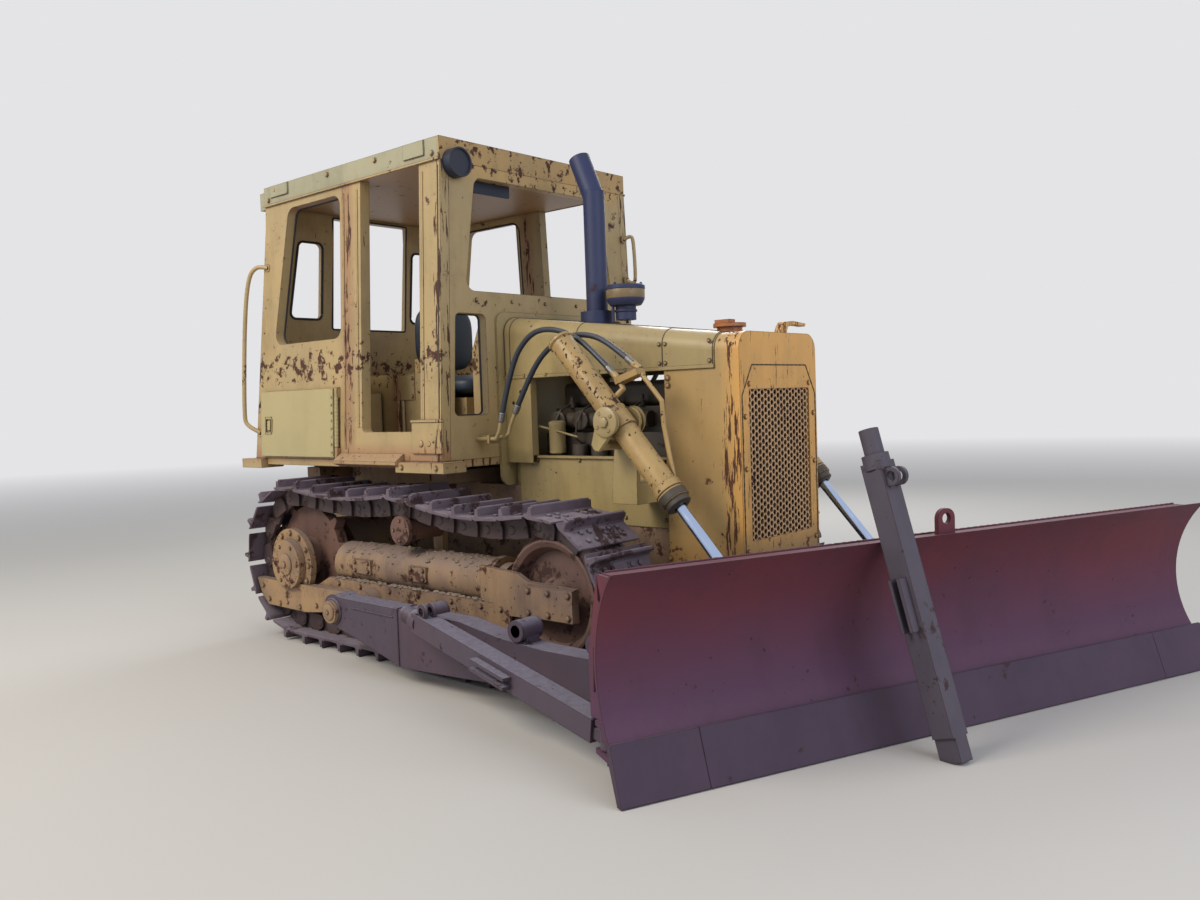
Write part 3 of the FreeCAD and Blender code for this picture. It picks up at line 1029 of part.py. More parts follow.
def brace_bar(front, rear):
    """Square strut with a pivot eye, a bolted bracket and a head with two ring lugs."""
    a, b = Vec(*front), Vec(*rear)
    length = (b - a).Length
    h = BRACE_BAR / 2
    body = box(90, length - 60, -h, h, -h, h)
    bracket = [box(length * 0.405, length * 0.575, -h - 12, h + 40, z0, z0 + 14) for z0 in (-26, 12)]
    stub = bar((length - 60, 0, 0), (length + 70, 0, 0), 38)
    collar = bar((length - 90, 0, 0), (length - 30, 0, 0), 52)
    at = length - RING_BACK
    lugs = [bar((at, y, h + 22), (at, y + 16, h + 22), 36) for y in (-30, 14)]
    roots = [box(at - 34, at + 34, y, y + 16, 20, h + 22) for y in (-30, 14)]
    holes = bar((at, -60, h + 22), (at, 60, h + 22), 20)
    piece = fuse(body, *bracket, stub, collar, *lugs, *roots).cut(holes)
    return piece, a, b - a


def place_strut(piece, start, way):
    """Turns a strut built along x to run from a point in a direction, staying upright."""
    flat_angle = math.degrees(math.atan2(way.y, way.x))
    rise = math.degrees(math.atan2(way.z, math.hypot(way.x, way.y)))
    piece.rotate(Vec(0, 0, 0), Vec(0, 1, 0), -rise)
    piece.rotate(Vec(0, 0, 0), Vec(0, 0, 1), flat_angle)
    piece.translate(start)
    return piece


def brace_front():
    """Where the right brace meets the blade, in the machine frame."""
    turn = math.radians(-BLADE_ANGLE)
    return (PIVOT_X + BRACE_S * math.cos(turn) - BRACE_W * math.sin(turn),
            BRACE_S * math.sin(turn) + BRACE_W * math.cos(turn), BRACE_Z)


def right_brace():
    """Brace pinned between the blade's right corner and the frame's rear socket."""
    front = brace_front()
    piece, start, way = brace_bar(front, BRACE_REAR)
    strut = place_strut(piece, start, way)
    eye = bar((front[0], front[1], BRACE_Z - 34), (front[0], front[1], BRACE_Z + 34), 58)
    neck = place_strut(box(0, 100, -34, 34, -30, 12), start, way)
    bore = bar((front[0], front[1], 0), (front[0], front[1], 400), 24 + PIN_GAP)
    return fuse(strut, eye, neck).cut(bore)


def left_brace():
    """The other brace, unpinned and leaned on the blade's face with its foot on the edge."""
    yaw = math.atan2(LEAN_SHIFT, LEAN_LENGTH * math.sin(math.atan2(LEAN_FOOT_S - LIP_S, BLADE_TOP)))
    rest = BRACE_BAR / 2 * (math.cos(yaw) + math.sin(yaw)) + SEAT_GAP
    lean = math.atan2(LEAN_FOOT_S - LIP_S, BLADE_TOP)
    foot = (LEAN_FOOT_S + rest / math.cos(lean), LEAN_W, 0.0)
    head = (foot[0] - LEAN_LENGTH * math.sin(lean), LEAN_W - LEAN_SHIFT, LEAN_LENGTH * math.cos(lean))
    piece, start, way = brace_bar(foot, head)
    heel = box(0, 95, -34, 34, -BRACE_BAR / 2, BRACE_BAR / 2)
    strut = place_strut(fuse(piece, heel), start, way)
    floor = box(0, 2000, -2000, 2000, -200, 0)
    return on_blade(strut.cut(floor))


def save(shape, node):
    """Moves a finished node to the row's origin and writes it."""
    shape.translate(Vec(*ROW_SHIFT))
    shape.exportStep(f"parts/{node}.step")


def main():
    """Builds every node, the right one of a pair first."""
    os.makedirs("parts", exist_ok=True)
    single = {"main_frame": main_frame(), "drawbar": drawbar(), "engine": engine(), "hood": hood(),
              "side_panels": side_panels(), "cowl": cowl(), "radiator_guard": radiator_guard(), "grille": grille(),
              "radiator": radiator(), "exhaust_stack": exhaust_stack(), "precleaner": precleaner(),
              "cab_front": cab_front(), "cab_rear": cab_rear(), "cab_roof": cab_roof(), "cab_floor": cab_floor(),
              "consoles": consoles(), "grab_rails": grab_rails(), "c_frame": c_frame(), "blade_plate": blade_plate(),
              "blade_back": blade_back(), "cutting_edge": cutting_edge(), "right_brace": right_brace(),
              "left_brace": left_brace(), "lift_pipes": lift_pipes(), "filler_cap": filler_cap(), "lamp": lamp(),
              "visor": visor()}
    single["seat_pedestal"], single["seat_cushion"], single["seat_back"] = seat()
    paired = {"track": track(), "sprocket": sprocket(), "sprocket_support": sprocket_support(), "idler": idler(),
              "rollers": rollers(), "track_frame": track_frame(), "final_drive": final_drive(), "cab_side": cab_side(),
              "tool_door": tool_door(), "tool_box": tool_box(), "cylinder_bracket": cylinder_bracket(),
              "lift_barrel": lift_barrel(), "lift_rod": lift_rod(),
              "hose_outer": hose(HOSE_OUTER), "hose_inner": hose(HOSE_INNER)}
    for node, shape in paired.items():
        single[node + "_right"] = shape
        single[node + "_left"] = mirrored(shape)
    single["cab_side_left"] = mirrored(cab_side([LEFT_BAR_X]))
    for node, shape in single.items():
        save(shape, node)
        box_ = shape.BoundBox
        print(f"{node:24s} solids {len(shape.Solids)} x {box_.XMin:.0f} {box_.XMax:.0f} "
              f"y {box_.YMin:.0f} {box_.YMax:.0f} z {box_.ZMin:.0f} {box_.ZMax:.0f}")


main()
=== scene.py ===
"""Weathered crawler bulldozer with an angled blade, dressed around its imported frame.

Everything is in metres in the frame's own axes: +X forward to the blade, +Y to
the machine's left, +Z up. machine() turns the maker's millimetres, measured from
the sprocket axle, the centre plane and the ground, into this frame.
"""

import math

import bmesh
import bpy
import numpy as np
from mathutils import Matrix, Vector


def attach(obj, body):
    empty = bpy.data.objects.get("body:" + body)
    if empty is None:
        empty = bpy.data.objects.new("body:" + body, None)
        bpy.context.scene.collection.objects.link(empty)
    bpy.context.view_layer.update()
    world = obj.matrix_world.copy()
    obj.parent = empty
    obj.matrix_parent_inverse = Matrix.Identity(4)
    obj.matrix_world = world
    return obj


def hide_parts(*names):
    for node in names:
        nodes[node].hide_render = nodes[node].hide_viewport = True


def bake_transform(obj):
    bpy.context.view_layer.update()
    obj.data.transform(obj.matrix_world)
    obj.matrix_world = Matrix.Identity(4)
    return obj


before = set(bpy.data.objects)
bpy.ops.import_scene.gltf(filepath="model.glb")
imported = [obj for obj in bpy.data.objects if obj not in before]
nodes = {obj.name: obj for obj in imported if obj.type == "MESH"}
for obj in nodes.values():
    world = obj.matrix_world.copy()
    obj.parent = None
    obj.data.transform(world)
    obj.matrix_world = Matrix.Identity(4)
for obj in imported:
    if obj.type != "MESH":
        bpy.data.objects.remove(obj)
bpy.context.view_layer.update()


# Camera
# The photographer stood ahead of the right track at chest height. Place, turn
# and lens come from lines of the machine that are square to each other.
camera_data = bpy.data.cameras.new("camera")
camera_data.sensor_width = 36.0
camera_data.lens = 30.18
camera_data.clip_end = 200.0
camera = bpy.data.objects.new("camera", camera_data)
bpy.context.scene.collection.objects.link(camera)
bpy.context.scene.camera = camera
camera.matrix_world = Matrix(((0.75251, -0.00679, 0.65854, 3.415),
                              (0.65768, 0.05986, -0.75091, -3.939),
                              (-0.03432, 0.99818, 0.04951, 1.347),
                              (0.0, 0.0, 0.0, 1.0)))


# Studio
# A pale floor that runs up to the horizon, one soft main lamp from the upper
# left behind the camera, a weaker fill, and an even world.
def linear(code, alpha=1.0):
    """sRGB hex code to linear colour."""
    parts = [int(code[i:i + 2], 16) / 255 for i in (1, 3, 5)]
    return tuple(c / 12.92 if c <= 0.04045 else ((c + 0.055) / 1.055) ** 2.4 for c in parts) + (alpha,)


def add(tree, kind, links=(), **settings):
    """Adds a node; settings name its fields or inputs; links feed inputs with other nodes' outputs or with values."""
    made = tree.nodes.new("ShaderNode" + kind)
    for name, value in settings.items():
        if hasattr(made, name):
            setattr(made, name, value)
        else:
            made.inputs[name.replace("_", " ")].default_value = value
    for socket, source in dict(links).items():
        if isinstance(source, bpy.types.NodeSocket):
            tree.links.new(source, made.inputs[socket])
        else:
            made.inputs[socket].default_value = source
    return made


def empty_tree(owner):
    """Turns on the nodes of a material or world, removes them all and returns their tree."""
    owner.use_nodes = True
    owner.node_tree.nodes.clear()
    return owner.node_tree


def seen_straight(tree):
    """1 for a ray from the camera or off a mirror, which meets the backdrop itself, and 0 for one that lights."""
    rays = add(tree, "LightPath").outputs
    return add(tree, "Math", {0: rays["Is Camera Ray"], 1: rays["Is Glossy Ray"]}, operation="MAXIMUM").outputs[0]


floor_mesh = bpy.data.meshes.new("floor")
floor_mesh.from_pydata([(-60, -60, 0), (60, -60, 0), (60, 60, 0), (-60, 60, 0)], [], [(0, 1, 2, 3)])
floor = bpy.data.objects.new("floor", floor_mesh)
bpy.context.scene.collection.objects.link(floor)
floor_paint = bpy.data.materials.new("pale_floor")
tree = empty_tree(floor_paint)
shade = add(tree, "BsdfDiffuse", Color=linear("#C9C6C1"))
white = add(tree, "Emission", Color=linear("#E4E4E6"), Strength=1.0)
where = add(tree, "TexCoord")
reach = add(tree, "VectorMath", {0: where.outputs["Object"]}, operation="LENGTH")
far = add(tree, "MapRange", {"Value": reach.outputs["Value"]}, From_Min=7.0, From_Max=24.0)
fade = add(tree, "Math", {0: far.outputs["Result"], 1: seen_straight(tree)}, operation="MULTIPLY")
mixed = add(tree, "MixShader", {0: fade.outputs[0], 1: shade.outputs[0], 2: white.outputs[0]})
add(tree, "OutputMaterial", {"Surface": mixed.outputs[0]})
floor.data.materials.append(floor_paint)

world = bpy.data.worlds.new("world")
bpy.context.scene.world = world
tree = empty_tree(world)
even = add(tree, "Background", Color=linear("#DDE2EA"), Strength=0.62)
back = add(tree, "Background", Color=linear("#E4E4E6"), Strength=1.0)
pick = add(tree, "MixShader", {0: seen_straight(tree), 1: even.outputs[0], 2: back.outputs[0]})
add(tree, "OutputWorld", {"Surface": pick.outputs[0]})

lamps = (("main_lamp", (-2.0, -7.0, 6.5), (0.2, -0.2, 1.0), 4.0, 520.0, "#FFF6E8"),
         ("fill_lamp", (7.5, -1.0, 4.0), (0.6, 0.0, 0.8), 5.0, 210.0, "#EDF2FF"),
         ("rim_lamp", (-3.0, 6.5, 5.5), (0.0, 0.0, 1.2), 4.0, 260.0, "#FFFFFF"))
for name, place, aim, size, power, tint in lamps:
    lamp = bpy.data.lights.new(name, "AREA")
    lamp.size, lamp.energy, lamp.color = size, power, linear(tint)[:3]
    made = bpy.data.objects.new(name, lamp)
    bpy.context.scene.collection.objects.link(made)
    made.location = place
    made.rotation_euler = (Vector(aim) - Vector(place)).to_track_quat("-Z", "Y").to_euler()

bpy.context.scene.view_settings.view_transform = "Standard"


# Lift hoses
# Four pressure hoses, black rubber over wound wire, arch from the pipes beside the
# cab to the port blocks on the lift cylinders, their ends crimped in steel sleeves.
# The routes repeat the control points of the part's source.
HOSE_RADIUS = 14.0
OUTER_ROUTE = ((1425, -552, 1256), (1514, -552, 1547), (1647, -550, 1688), (1784, -550, 1710), (1941, -550, 1668),
               (2076, -552, 1579), (2205, -565, 1470))
INNER_ROUTE = ((1495, -515, 1298), (1617, -515, 1498), (1745, -515, 1617), (1895, -515, 1669), (2050, -518, 1659),
               (2181, -526, 1596), (2306, -540, 1511))
# from the maker's origin on the sprocket axle to the frame's in the middle of the box
SHIFT = np.array((-1818.0, 188.0, 0.0))


def weathered(name, paint, faded, rust="#5B3423", dust="#A8957A", chips=0.5, edge=0.5, dusty=0.5, grime=0.5,
              gloss=0.42, metal=0.0, grain=1.0, bump=0.25, grime_and_shade="#6A5A48", specks=0.0, corners=0.55, bands=(),
              underside_shade=None):
    """Old finish: paint fades by slow noise; chips, specks and edges show rust; dust lies on upward faces, a film
    of grime stains the paint, and painted shade darkens corners and the faces that look down. Each band (axis,
    middle, half width, rust, tint) rusts or tints a strip across one axis; rust below zero runs down in streaks."""
    made = bpy.data.materials.new(name)
    tree = empty_tree(made)
    place = add(tree, "TexCoord").outputs["Object"]

    def noise(scale, detail, roughness, at=place):
        return add(tree, "TexNoise", {"Vector": at}, Scale=scale, Detail=detail, Roughness=roughness).outputs["Fac"]

    def ramp(value, low, high, **ends):
        return add(tree, "MapRange", {"Value": value}, From_Min=low, From_Max=high, **ends).outputs["Result"]

    def reckon(operation, *values, **settings):
        return add(tree, "Math", enumerate(values), operation=operation, **settings).outputs[0]

    def laid(share, below, over):
        return add(tree, "Mix", {0: share, 6: below, 7: over}, data_type="RGBA").outputs[2]

    fast = noise(38.0 * grain, 8.0, 0.72)
    coat = laid(ramp(noise(1.7 * grain, 6.0, 0.62), 0.36, 0.66), linear(paint), linear(faded))
    apart = add(tree, "SeparateXYZ", {0: place})
    rusting = []
    for axis, middle, half, strength, tint in bands:
        share = ramp(reckon("ABSOLUTE", reckon("SUBTRACT", apart.outputs[axis], middle)), half, half * 0.2)
        rusting.append((share, strength))
        if tint:
            coat = laid(share, coat, linear(tint))
    # grime: cloudy film, and faint runs from noise stretched down the height
    cloud = noise(3.6 * grain, 9.0, 0.7)
    longer = add(tree, "Mapping", {"Vector": place}, Scale=(9.0, 9.0, 1.3)).outputs[0]
    film = reckon("ADD", cloud, noise(grain, 6.0, 0.65, longer))
    stain_and_shade = laid(ramp(film, 0.95, 1.45, To_Max=grime), coat, linear(grime_and_shade))
    # painted shade: ambient occlusion darkens corners and creases toward a deep tone of the grime colour
    if corners:
        hollow = add(tree, "AmbientOcclusion", samples=4, Distance=0.06).outputs["AO"]
        shadow = tuple(c * 0.45 for c in linear(grime_and_shade)[:3]) + (1.0,)
        stain_and_shade = laid(ramp(hollow, 0.75, 0.25, To_Max=corners), stain_and_shade, shadow)
    # dust on upward faces
    shape = add(tree, "NewGeometry")
    up = add(tree, "SeparateXYZ", {0: shape.outputs["Normal"]}).outputs["Z"]
    # painted shade: faces that look down are tinted toward a darker colour
    if underside_shade:
        stain_and_shade = laid(ramp(up, -0.5, -0.9), stain_and_shade, linear(underside_shade))
    lying = reckon("MULTIPLY", ramp(up, 0.35, 0.95, To_Max=dusty), fast)
    dusted = laid(reckon("MULTIPLY", lying, 1.7, use_clamp=True), stain_and_shade, linear(dust))
    # rust: chips and specks from noise, and worn edges where the rounded normal leaves the flat one
    round_edge = add(tree, "Bevel", samples=4, Radius=0.006).outputs[0]
    bend = add(tree, "VectorMath", {0: round_edge, 1: shape.outputs["True Normal"]}, operation="DOT_PRODUCT")
    worn = ramp(bend.outputs["Value"], 0.995, 0.88, To_Max=edge)
    holes = ramp(noise(6.0 * grain, 10.0, 0.75), 0.70 - 0.16 * chips, 0.73 - 0.16 * chips)
    for share, strength in rusting:
        if strength:
            stretch = (20.0, 20.0, 20.0) if strength > 0 else (48.0, 48.0, 5.0)
            drawn = add(tree, "Mapping", {"Vector": place}, Scale=stretch).outputs[0]
            raised = reckon("MULTIPLY_ADD", share, abs(strength), noise(1.0, 6.0, 0.68, drawn))
            holes = reckon("MAXIMUM", holes, ramp(raised, 0.66, 0.69))
    if specks:
        spread = reckon("MULTIPLY_ADD", cloud, 0.5, noise(46.0 * grain, 3.0, 0.55))
        holes = reckon("MAXIMUM", holes, ramp(spread, 1.0 - 0.1 * specks, 1.02 - 0.1 * specks))
    bare = reckon("MAXIMUM", holes, ramp(reckon("MULTIPLY", worn, fast), 0.18, 0.30))
    colour = laid(bare, dusted, laid(fast, linear(rust), linear("#33201A")))
    rough = ramp(bare, 0.0, 1.0, To_Min=gloss, To_Max=0.85)
    relief = add(tree, "Bump", {"Height": reckon("SUBTRACT", bare, fast), "Normal": round_edge}, invert=True,
                 Strength=bump, Distance=0.002)
    skin = add(tree, "BsdfPrincipled", {"Base Color": colour, "Roughness": rough, "Normal": relief.outputs[0]},
               Metallic=metal)
    add(tree, "OutputMaterial", {"Surface": skin.outputs[0]})
    return made


def machine(points):
    """Maker's millimetres to the frame's metres: shift to the middle of the box, then divide by 1000."""
    return (np.asarray(points, float) + SHIFT) / 1000.0


def smooth_line(route):
    """Points of the smooth line, a NURBS spline of order 3, that has a route's points as its control points."""
    curve = bpy.data.curves.new("route", "CURVE")
    curve.dimensions = "3D"
    spline = curve.splines.new("NURBS")
    spline.points.add(len(route) - 1)
    spline.points.foreach_set("co", np.column_stack([route, np.ones(len(route))]).ravel())
    spline.order_u = 3
    spline.use_endpoint_u = True
    carrier = bpy.data.objects.new("route", curve)
    read = bpy.data.meshes.new_from_object(carrier)
    points = np.array([corner.co for corner in read.vertices])
    bpy.data.objects.remove(carrier)
    bpy.data.meshes.remove(read)
    return points


def unit(vectors):
    """Vectors divided by their lengths."""
    return np.asarray(vectors, float) / np.linalg.norm(vectors, axis=-1, keepdims=True)


def full_turn(count):
    """Angles spaced evenly round a circle."""
    return np.linspace(0, 2 * math.pi, count, endpoint=False)


def skinned(rings):
    """Tube through rings of points, closed at both ends, as points and faces."""
    count, sides = rings.shape[:2]
    step = np.arange(sides)
    on = (step + 1) % sides
    quads = [np.stack([i * sides + step, i * sides + on, (i + 1) * sides + on, (i + 1) * sides + step], axis=1)
             for i in range(count - 1)]
    ends = [list(range(sides))[::-1], list(range((count - 1) * sides, count * sides))]
    return rings.reshape(-1, 3), np.concatenate(quads).tolist() + ends


def carried(path, radius, sides=10):
    """Round profile carried along a path: path + radius * (cos t * across + sin t * over), square to the path."""
    path = np.asarray(path, float)
    ahead = unit(np.gradient(path, axis=0))
    across = unit(np.cross(ahead, (0.13, 0.21, 0.97)))
    over = np.cross(across, ahead)
    t = full_turn(sides)[None, :, None]
    wide = np.broadcast_to(np.asarray(radius, float), (len(path),))[:, None, None]
    return skinned(path[:, None, :] + wide * (np.cos(t) * across[:, None, :] + np.sin(t) * over[:, None, :]))


def turned(profile, base, axis, sides=20):
    """Profile (r, h) turned about an axis: base + h * axis + r * (cos t * u + sin t * v)."""
    axis = unit(axis)
    u = unit(np.cross(axis, (0.0, 0.0, 1.0) if abs(axis[2]) < 0.9 else (1.0, 0.0, 0.0)))
    v = np.cross(axis, u)
    t = full_turn(sides)[None, :, None]
    r, h = np.asarray(profile, float).T[:, :, None, None]
    return skinned(np.asarray(base, float) + h * axis + r * (np.cos(t) * u + np.sin(t) * v))


def build(name, parts, finish, body="chassis", stands_for=(), crease=35.0):
    """Joins solids into one mesh in the frame: outward faces, smooth within a crease angle."""
    mesh = bpy.data.meshes.new(name)
    points, faces, count = [], [], 0
    for verts, polys in parts:
        points.append(verts)
        faces += [[i + count for i in poly] for poly in polys]
        count += len(verts)
    mesh.from_pydata(machine(np.concatenate(points)).tolist(), [], faces)
    work = bmesh.new()
    work.from_mesh(mesh)
    bmesh.ops.recalc_face_normals(work, faces=work.faces)
    work.to_mesh(mesh)
    work.free()
    mesh.shade_smooth()
    mesh.set_sharp_from_angle(angle=math.radians(crease))
    made = bpy.data.objects.new(name, mesh)
    bpy.context.scene.collection.objects.link(made)
    mesh.materials.append(finish)
    if body:
        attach(made, body)
    if stands_for:
        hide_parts(*stands_for)
    return made


# The blue in the hoses' black rubber is a painted sheen of sky.
hose_rubber = weathered("oily_hose_rubber_painted_sheen", "#262B36", "#343B49", rust="#1A1C22", dust="#6A6764", chips=0.05, edge=0.0,
                        dusty=0.4, grime=0.3, gloss=0.42, bump=0.12, grime_and_shade="#3B3A3E")
sleeve_steel = weathered("plated_crimp_steel", "#8A8B88", "#75736C", rust="#5A4030", dust="#978C7B", chips=0.4,
                         edge=0.2, dusty=0.3, grime=0.5, gloss=0.38, metal=0.6, grime_and_shade="#4E4840")
sleeve = [(15.5, -4), (17.5, 0), (17.5, 9), (16.2, 11), (17.5, 13), (17.5, 20), (16.2, 22), (17.5, 24), (17.5, 31),
          (16.2, 33), (17.5, 35), (17.5, 42), (15.0, 46)]
for side, turn in (("right", 1), ("left", -1)):
    for name, route, leave, join in (("hose_outer_", OUTER_ROUTE, 3, 6), ("hose_inner_", INNER_ROUTE, 2, 6)):
        route = np.asarray(route, float) * (1, turn, 1)
        line = smooth_line(route)
        piece = build("rubber_" + name + side, [carried(line, HOSE_RADIUS, 14)], hose_rubber, None,
                      (name + side,), 60)
        far = route[join] + (route[join - 1] - route[join]) * 0.3
        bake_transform(piece)
        walked = machine(line)
        ends = ((route[0], route[1], "chassis"), (route[-1], route[-2], "barrel_" + side))
        for k, (tip, on, body) in enumerate(ends):
            build(name + "sleeve_%d_" % k + side, [turned(sleeve, tip, on - tip, 16)], sleeve_steel, body,
                  crease=30)


# Tracks
# Forged shoes, each with one tall bar across it, bolted to two rows of cast
# links that hinge on hardened pins. Bare steel, brown with rust and dried earth.
def prism(outline, low, high, order="abc"):
    """Outline (a, b) carried along c from low to high; order says which of a, b, c is x, y and z."""
    rings = np.stack([np.column_stack([outline, np.full(len(outline), float(c))]) for c in (low, high)])
    return skinned(rings[..., ["abc".index(letter) for letter in order]])


def block(x0, x1, y0, y1, z0, z1):
    """Plate or bar with six flat sides between two corners."""
    return prism(((x0, y0), (x1, y0), (x1, y1), (x0, y1)), z0, z1)


def repeated(faces, size, count):
    """Faces of count copies of a solid of size points, one copy after another."""
    return [[i + k * size for i in face] for k in range(count) for face in faces]


def moved(solid, places):
    """Copies of a solid, each shifted by one of the places."""
    points, faces = solid
    places = np.asarray(places, float).reshape(-1, 3)
    copies = (points[None, :, :] + places[:, None, :]).reshape(-1, 3)
    return copies, repeated(faces, len(points), len(places))


def bolts(places, axis, radius=11.0, height=8.0):
    """Hexagon heads on round washers, all along one axis."""
    head = turned(((radius, 0), (radius, height), (radius * 0.8, height + 1.5)), (0, 0, 0), axis, sides=6)
    washer = turned(((radius * 1.4, -1), (radius * 1.4, 2)), (0, 0, 0), axis, sides=12)
    return [moved(head, places), moved(washer, places)]


def finish_nodes(finish, *names):
    """Gives a finish to nodes of the frame that stay as they are."""
    for name in names:
        nodes[name].data.materials.clear()
        nodes[name].data.materials.append(finish)


def mirrored(parts):
    """The same solids on the other side of the centre plane."""
    return [(points * (1, -1, 1), faces) for points, faces in parts]


AHEAD, LEFT, RIGHT, UP = (1, 0, 0), (0, 1, 0), (0, -1, 0), (0, 0, 1)
SIDES = (("right", list), ("left", mirrored))
SIDE_Y = -762.0
LINKS = 36
PIN_Z = 117.0
REAR_RADIUS = 362.0
FRONT_RADIUS = 330.0
WHEELBASE = 2040.0
rear_z, front_z = PIN_Z + REAR_RADIUS, PIN_Z + FRONT_RADIUS
carrier = np.array((1000.0, 829.0))
leave, meet = math.radians(104.0), math.radians(83.0)
off_front = np.array((WHEELBASE + FRONT_RADIUS * math.cos(leave), front_z + FRONT_RADIUS * math.sin(leave)))
on_rear = np.array((REAR_RADIUS * math.cos(meet), rear_z + REAR_RADIUS * math.sin(meet)))
run = np.linspace(0, 1, 40, endpoint=False)[:, None]
around = np.linspace(-math.pi / 2, leave, 60, endpoint=False)[:, None]
behind = np.linspace(meet, 3 * math.pi / 2, 60, endpoint=False)[:, None]
pin_line = np.concatenate([
    np.hstack([WHEELBASE * run, np.full_like(run, PIN_Z)]),
    np.hstack([WHEELBASE + FRONT_RADIUS * np.cos(around), front_z + FRONT_RADIUS * np.sin(around)]),
    off_front + (carrier - off_front) * run - (0, 1) * (4 * 50.0 * run * (1 - run)),
    carrier + (on_rear - carrier) * run - (0, 1) * (4 * 37.0 * run * (1 - run)),
    np.hstack([REAR_RADIUS * np.cos(behind), rear_z + REAR_RADIUS * np.sin(behind)]),
    [(0.0, PIN_Z)]])
walked = np.concatenate([[0], np.cumsum(np.linalg.norm(np.diff(pin_line, axis=0), axis=1))])
marks = np.linspace(0, walked[-1], LINKS, endpoint=False)
pins = np.stack([np.interp(marks, walked, pin_line[:, i]) for i in (0, 1)], axis=1)
along = np.roll(pins, -1, axis=0) - pins
pitch = np.linalg.norm(along, axis=1, keepdims=True)
along /= pitch
outward = np.stack([along[:, 1], -along[:, 0]], axis=1)


def on_chain(solid):
    """Copies a solid drawn on one link, as (s, t, h), to all: pin + s * along + h * outward, y = middle + t."""
    points, faces = solid
    s, t, h = points.T
    flat = pins[:, None, :] + s[None, :, None] * along[:, None, :] + h[None, :, None] * outward[:, None, :]
    y = np.broadcast_to(SIDE_Y + t, flat.shape[:2])
    spread = np.stack([flat[..., 0], y, flat[..., 1]], axis=-1).reshape(-1, 3)
    return spread, repeated(faces, len(points), LINKS)


shoe = [(2, 52), (150, 52), (171, 59), (178, 66), (176, 72), (160, 68), (153, 74), (148, 112), (144, 117), (134, 117),
        (130, 112), (125, 74), (117, 66), (18, 65), (3, 60)]
plate = prism(shoe, -190, 190, "acb")
tips = [prism([(a, min(b, 108)) for a, b in shoe], y0, y1, "acb") for y0, y1 in ((-203, -190), (190, 203))]
shoe_bolts = [turned(((13, 0), (13, 9), (10, 11)), (s, t, 65), UP, sides=6)
              for s in (38, 92) for t in (-122, -66, 66, 122)]
rear_cheek = [(-28, -22), (-14, -38), (10, -45), (112, -45), (120, -20), (112, 40), (96, 52), (28, 52), (-6, 40),
              (-26, 18)]
front_cheek = [(70, -45), (164, -45), (190, -38), (202, -22), (200, 18), (180, 40), (148, 52), (84, 52), (66, 10)]
cheeks = [prism(rear_cheek, y0, y1, "acb") for y0, y1 in ((-92, -75), (75, 92))]
cheeks += [prism(front_cheek, y0, y1, "acb") for y0, y1 in ((-109, -92), (92, 109))]
pin = turned(((18, -114), (22, -110), (22, 110), (18, 114)), (0, 0, 0), LEFT, sides=10)
bush = turned(((31, -75), (31, 75)), (0, 0, 0), LEFT, sides=12)
# Shoe steel: hot-rolled and never painted, it browns evenly and holds pale earth on flat faces
shoe_steel = weathered("rusted_shoe_steel", "#5C4E5A", "#70646E", rust="#432E36", dust="#948A94", chips=1.0, edge=0.35,
                       dusty=0.75, grime=0.7, gloss=0.72, bump=0.6, grime_and_shade="#44363C")
link_steel = weathered("oily_link_steel", "#4E3B3A", "#42353A", rust="#38231E", dust="#7E6C68", chips=0.9, edge=0.3,
                       dusty=0.6, grime=0.8, gloss=0.6, bump=0.6, grime_and_shade="#2E2422")
for side, turn_over in SIDES:
    build("shoes_" + side, turn_over([on_chain(part) for part in [plate] + tips + shoe_bolts]), shoe_steel,
          stands_for=("track_" + side,), crease=30)
    build("chain_" + side, turn_over([on_chain(part) for part in cheeks + [pin, bush]]), link_steel,
          stands_for=("track_" + side,), crease=30)


# Wheels and final drive
# Cast idler with a deep web, steel rollers, and the sprocket's bearing housing
# held by a ring of cap screws. Primer yellow survives only on the outer castings.
idler_profile = [(44, -112), (72, -112), (80, -96), (98, -44), (214, -40), (238, -96), (262, -108), (274, -103),
                 (274, -70), (299, -62), (299, 62), (274, 70), (274, 103), (262, 108), (238, 96), (214, 40), (98, 44),
                 (80, 96), (72, 112), (44, 112)]
idler = turned(idler_profile, (WHEELBASE, SIDE_Y, front_z), LEFT, sides=64)
frame_paint = weathered("muddy_frame_enamel", "#A68660", "#7E685A", dust="#85756F", chips=0.85, edge=0.9, dusty=0.95,
                        grime=0.9, gloss=0.65, grime_and_shade="#544442", specks=0.8)
wheel_rust = weathered("rusted_wheel_casting", "#7A5A4C", "#664C46", rust="#4A3028", dust="#8A7266", chips=0.9,
                       edge=0.5, dusty=0.7, grime=0.7, gloss=0.65, bump=0.5, grime_and_shade="#4C3A38", specks=0.5)


def round_places(x, y, z, radius, count):
    """Places evenly round a circle that faces the side: (x + radius * cos t, y, z + radius * sin t)."""
    t = full_turn(count)
    return np.stack([x + radius * np.cos(t), np.full(count, y), z + radius * np.sin(t)], axis=1)


